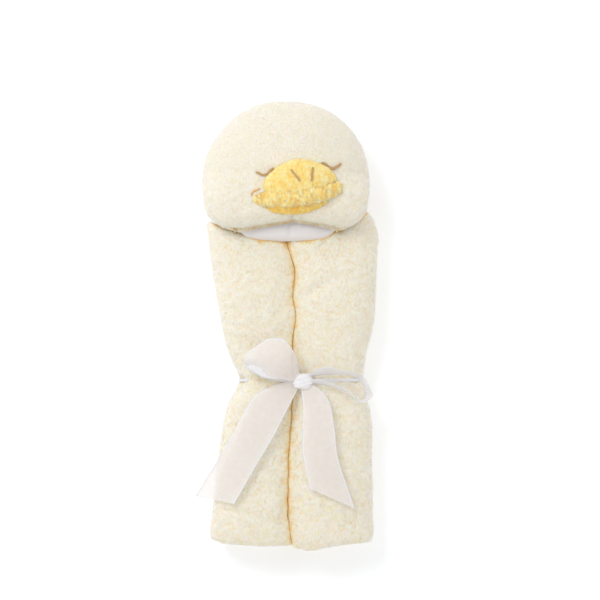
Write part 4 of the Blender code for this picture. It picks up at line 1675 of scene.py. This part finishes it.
@dataclass
class RibbonBow:
    """One sheer ribbon round the waist, tied in a bow on top."""

    towel: RolledTowel
    left_loop: Strip = Strip(
        "left_loop_ribbon", "left_loop", "left_loop",
        ((12, -52, 63), (9, -39, 74), (5, -28, 81), (-3, -17, 86), (-10, -13.6, 87),
         (-23, -14.7, 87), (-42, -27, 80),
         (-48.3, -35.4, 73), (-36, -36.5, 66), (-26, -43.6, 65), (-19, -50, 64), (-5, -56, 61),
         (8, -58, 59)),
        ((9, -63, 62), (1, -60.5, 68), (-8, -58.5, 73), (-16, -58, 76), (-22, -57.5, 77),
         (-30, -55.5, 77), (-41, -50, 75),
         (-48, -44, 70), (-38, -51, 63), (-28, -57, 62), (-18, -60, 61), (-5, -62, 59),
         (7, -63, 58)),
        (0.036, 0.105), 2.0)
    left_loop_fold: Strip = Strip(
        "left_loop_fold_ribbon", "left_loop", "left_loop",
        ((-48.2, -39.0, 74.5), (-43, -37.2, 78), (-37.5, -37.6, 80), (-31.5, -41.5, 80.5),
         (-28.0, -49.0, 80), (-22, -54.4, 79.4),
         (-12, -56.5, 77)),
        ((-47.5, -42.0, 72.5), (-44, -45.5, 76), (-40, -48.5, 78), (-34.5, -52.2, 79),
         (-29.5, -55.0, 79.2), (-22, -57.2, 78.6),
         (-12, -58.0, 76.4)),
        (0.010, 0.030), 0.3, 0.3, "folded")
    right_loop: Strip = Strip(
        "right_loop_ribbon", "right_loop", "right_loop",
        ((20, -55, 68), (33, -46, 82), (44, -45.5, 90), (56, -49, 94), (76, -52.5, 92),
         (83.5, -58.5, 89), (88.5, -69, 84),
         (90.5, -76, 80), (82, -82.5, 76), (73, -80, 75), (65, -71.5, 75), (49, -63, 74),
         (36, -58.5, 71), (20, -59, 66)),
        ((21, -57, 61), (33, -54, 62), (44, -53, 63), (56, -53.5, 65), (72, -57, 66), (78, -63, 64),
         (82, -71, 60),
         (82, -78, 57), (77, -80.5, 56), (69, -77.5, 57), (60, -72, 58), (49, -67.5, 58),
         (36, -64, 59), (20, -63, 60)),
        (0.036, 0.120), 0.8, 1.5)
    left_tail: Strip = Strip(
        "left_tail_ribbon", "left_tail", "left_tail",
        ((10, -58, 62), (-16.4, -65.5, 62), (-37.6, -76.5, 65), (-54, -104, 66), (-73.6, -140, 63),
         (-88.3, -163, 53), (-102, -186, 39)),
        ((12, -64, 61), (9.0, -70, 61), (-1.6, -91, 68), (-16.4, -120, 72), (-34.3, -150, 72.5),
         (-52, -181, 72), (-59.6, -194, 71)),
        (0.036, 0.165), 1.0, 0.6, "draped", ((0.0091, -0.0619, 0.0546), (-0.0035, -0.0800, 0.0546)))
    right_tail: Strip = Strip(
        "right_tail_ribbon", "right_tail", "right_tail",
        ((14, -62, 62), (13.5, -71, 63), (15.5, -91, 69), (14.7, -120, 72), (15.5, -143, 72),
         (22.9, -177.6, 72)),
        ((19, -61, 62), (33, -69, 64), (44, -84, 70), (49.8, -114, 73), (54, -146, 73.5),
         (72, -199.7, 69)),
        (0.034, 0.135), 1.0, 0.6, "draped", ((0.0214, -0.0636, 0.0553), (0.0257, -0.0852, 0.0553)))
    knot_centre: Point = (15.3, -60.5, 62.0)
    knot_radii: Point = (10.4, 8.4, 6.4)
    band_half: float = 1.7
    band_columns: int = 360

    def build_knot(self, finishes: Finishes) -> None:
        """The knot, a small pleated ball of gathered ribbon.

        Args:
            finishes: Every material.
        """
        columns, rows = 96, 44
        angle = np.linspace(0, 2 * math.pi, columns, endpoint=False)[None]
        rise = np.linspace(-0.5 * math.pi + 0.05, 0.5 * math.pi - 0.05, rows)[:, None]
        x = np.cos(angle) * np.cos(rise)
        y = np.sin(angle) * np.cos(rise)
        z = np.sin(rise) + 0 * angle
        grid = np.stack([x, y, z], axis=2)
        boxy = (np.abs(grid) ** 3).sum(axis=2) ** (-1 / 3)
        pleats = boxy * (1 + 0.05 * np.sin(6 * (y + 0.55 * x + 0.3 * x * y)) + 0.035
                         * np.sin(13 * (y - 0.35 * x) + 3.0 * z))
        flat = (grid * pleats[..., None] * np.array(self.knot_radii)
                + np.array(self.knot_centre)).reshape(-1, 3)
        total = np.vstack([flat, flat[:columns].mean(axis=0), flat[-columns:].mean(axis=0)])
        faces = faces_out(total, [grid_faces(rows, columns, True), *pole_fans(rows, columns)])
        edge = np.append(np.abs(np.sin(9 * (y + 0.5 * x) + 2.0 * z)).reshape(-1), [0.0, 0.0]) * 0.97
        knot = make_object("ribbon_knot_cloth", total, faces, {"edge": edge})
        dress(knot, finishes.gathered_organza_painted_shade)
        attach(knot, "root")
        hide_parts("ribbon_knot")

    def build_band(self, finishes: Finishes) -> None:
        """The band round the waist, gathered narrow and sunk between the folds of the towel.

        Args:
            finishes: Every material.
        """
        rows = self.towel.rows()
        at = rows[np.argmin(np.abs(rows[:, 0] - self.towel.tie_y))]
        half = 0.5 * (at[3] - at[1]) - 0.4
        tall = 0.5 * (at[5] - at[4]) - 0.2
        middle_x, middle_z = 0.5 * (at[1] + at[3]), 0.5 * (at[4] + at[5])
        angle = np.linspace(0, 2 * math.pi, self.band_columns, endpoint=False)
        steps = np.linspace(-1.0, 1.0, 25)
        section = [(s, 0.0) for s in steps] + [(s, -1.2) for s in steps[::-1]]
        grid = []
        for step, sink in section:
            ruck = 0.7 * math.sqrt(1.0 - 0.98 * step * step) + 0.18 * math.cos(5 * math.pi
                                                                               * step) + sink
            x = middle_x + (half + ruck) * signed_power(np.cos(angle), 2 / 3.6)
            z = middle_z + (tall + ruck) * signed_power(np.sin(angle), 2 / 3.6)
            y = self.towel.tie_y + self.band_half * step + 0 * angle
            grid.append(np.stack([x, y, z], axis=1))
        grid = np.array(grid)
        points = grid.reshape(-1, 3)
        ringed = np.concatenate([grid, grid[:1]])
        faces = grid_faces(len(ringed), self.band_columns, True) % len(points)
        edge = np.repeat(np.abs(np.array([s for s, _ in section])), self.band_columns)
        band = make_object("ribbon_band_cloth", points, faces_out(points, [faces]), {"edge": edge})
        dress(band, finishes.gathered_organza_painted_shade)
        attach(band, "root")
        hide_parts("ribbon_band")

    def build(self, finishes: Finishes) -> None:
        """Makes the band, the knot, the loops and the tails.

        Args:
            finishes: Every material.
        """
        self.build_band(finishes)
        self.build_knot(finishes)
        self.right_loop.build(finishes.folded_organza_painted_light)
        self.left_loop_fold.build(finishes.folded_organza_painted_light)
        for strip in (self.left_loop, self.left_tail, self.right_tail):
            strip.build(finishes.organza)


# ---------------------------------------------------------------- the studio


@dataclass
class Studio:
    """A plain pale floor, soft light from the upper left and a camera straight above."""

    aim: tuple[float, float] = (0.0120, 0.0278)
    view_width: float = 0.654
    distance: float = 8.0
    focus_height: float = 0.045
    floor_half: float = 3.0

    def build(self, finishes: Finishes) -> None:
        """Makes the floor, the lights, the world and the camera.

        Args:
            finishes: Every material.
        """
        half = self.floor_half / MM
        corners = np.array([(-half, -half, 0.0), (half, -half, 0.0), (half, half, 0.0),
                            (-half, half, 0.0)])
        floor = make_object("floor", corners, [np.array([[0, 1, 2, 3]])], {})
        floor.data.materials.append(finishes.floor)
        world = bpy.data.worlds.new("soft_room")
        bpy.context.scene.world = world
        world.use_nodes = True
        sky = world.node_tree.nodes["Background"]
        sky.inputs["Color"].default_value = (1.0, 0.984, 0.955, 1.0)
        sky.inputs["Strength"].default_value = 0.755
        self.lamp("key", (-0.85, 0.90, 1.75), 1.0, 13.4, (0.96, 0.985, 1.0))
        lens = bpy.data.cameras.new("camera")
        lens.sensor_width = 36.0
        lens.lens = 36.0 * (self.distance - self.focus_height) / self.view_width
        camera = bpy.data.objects.new("camera", lens)
        camera.location = (*self.aim, self.distance)
        bpy.context.collection.objects.link(camera)
        bpy.context.scene.camera = camera
        bpy.context.scene.view_settings.view_transform = "Standard"

    def lamp(self, name: str, place: Point, size: float, power: float, colour: Colour) -> None:
        """A square soft lamp that looks at the middle of the object.

        Args:
            name: Its name.
            place: Where it stands, in metres.
            size: How wide it is, in metres.
            power: Its power in watts.
            colour: Its colour.
        """
        light = bpy.data.lights.new(name, "AREA")
        light.shape = "DISK"
        light.size = size
        light.energy = power
        light.color = colour
        holder = bpy.data.objects.new(name, light)
        holder.location = place
        holder.rotation_euler = (Vector((0.0, 0.0, 0.05))
                                 - Vector(place)).to_track_quat("-Z", "Y").to_euler()
        bpy.context.collection.objects.link(holder)


def main() -> None:
    """Builds every sub-assembly in order.

    Returns:
        Nothing.
    """
    logging.basicConfig(level=logging.INFO)
    finishes = Finishes()
    Studio().build(finishes)
    towel = RolledTowel()
    towel.build(finishes)
    hood = Hood()
    hood.build(finishes)
    beak = Beak()
    beak.build(finishes)
    Stitching(hood, beak).build(finishes)
    RibbonBow(towel).build(finishes)


if __name__ == "__main__":
    main()
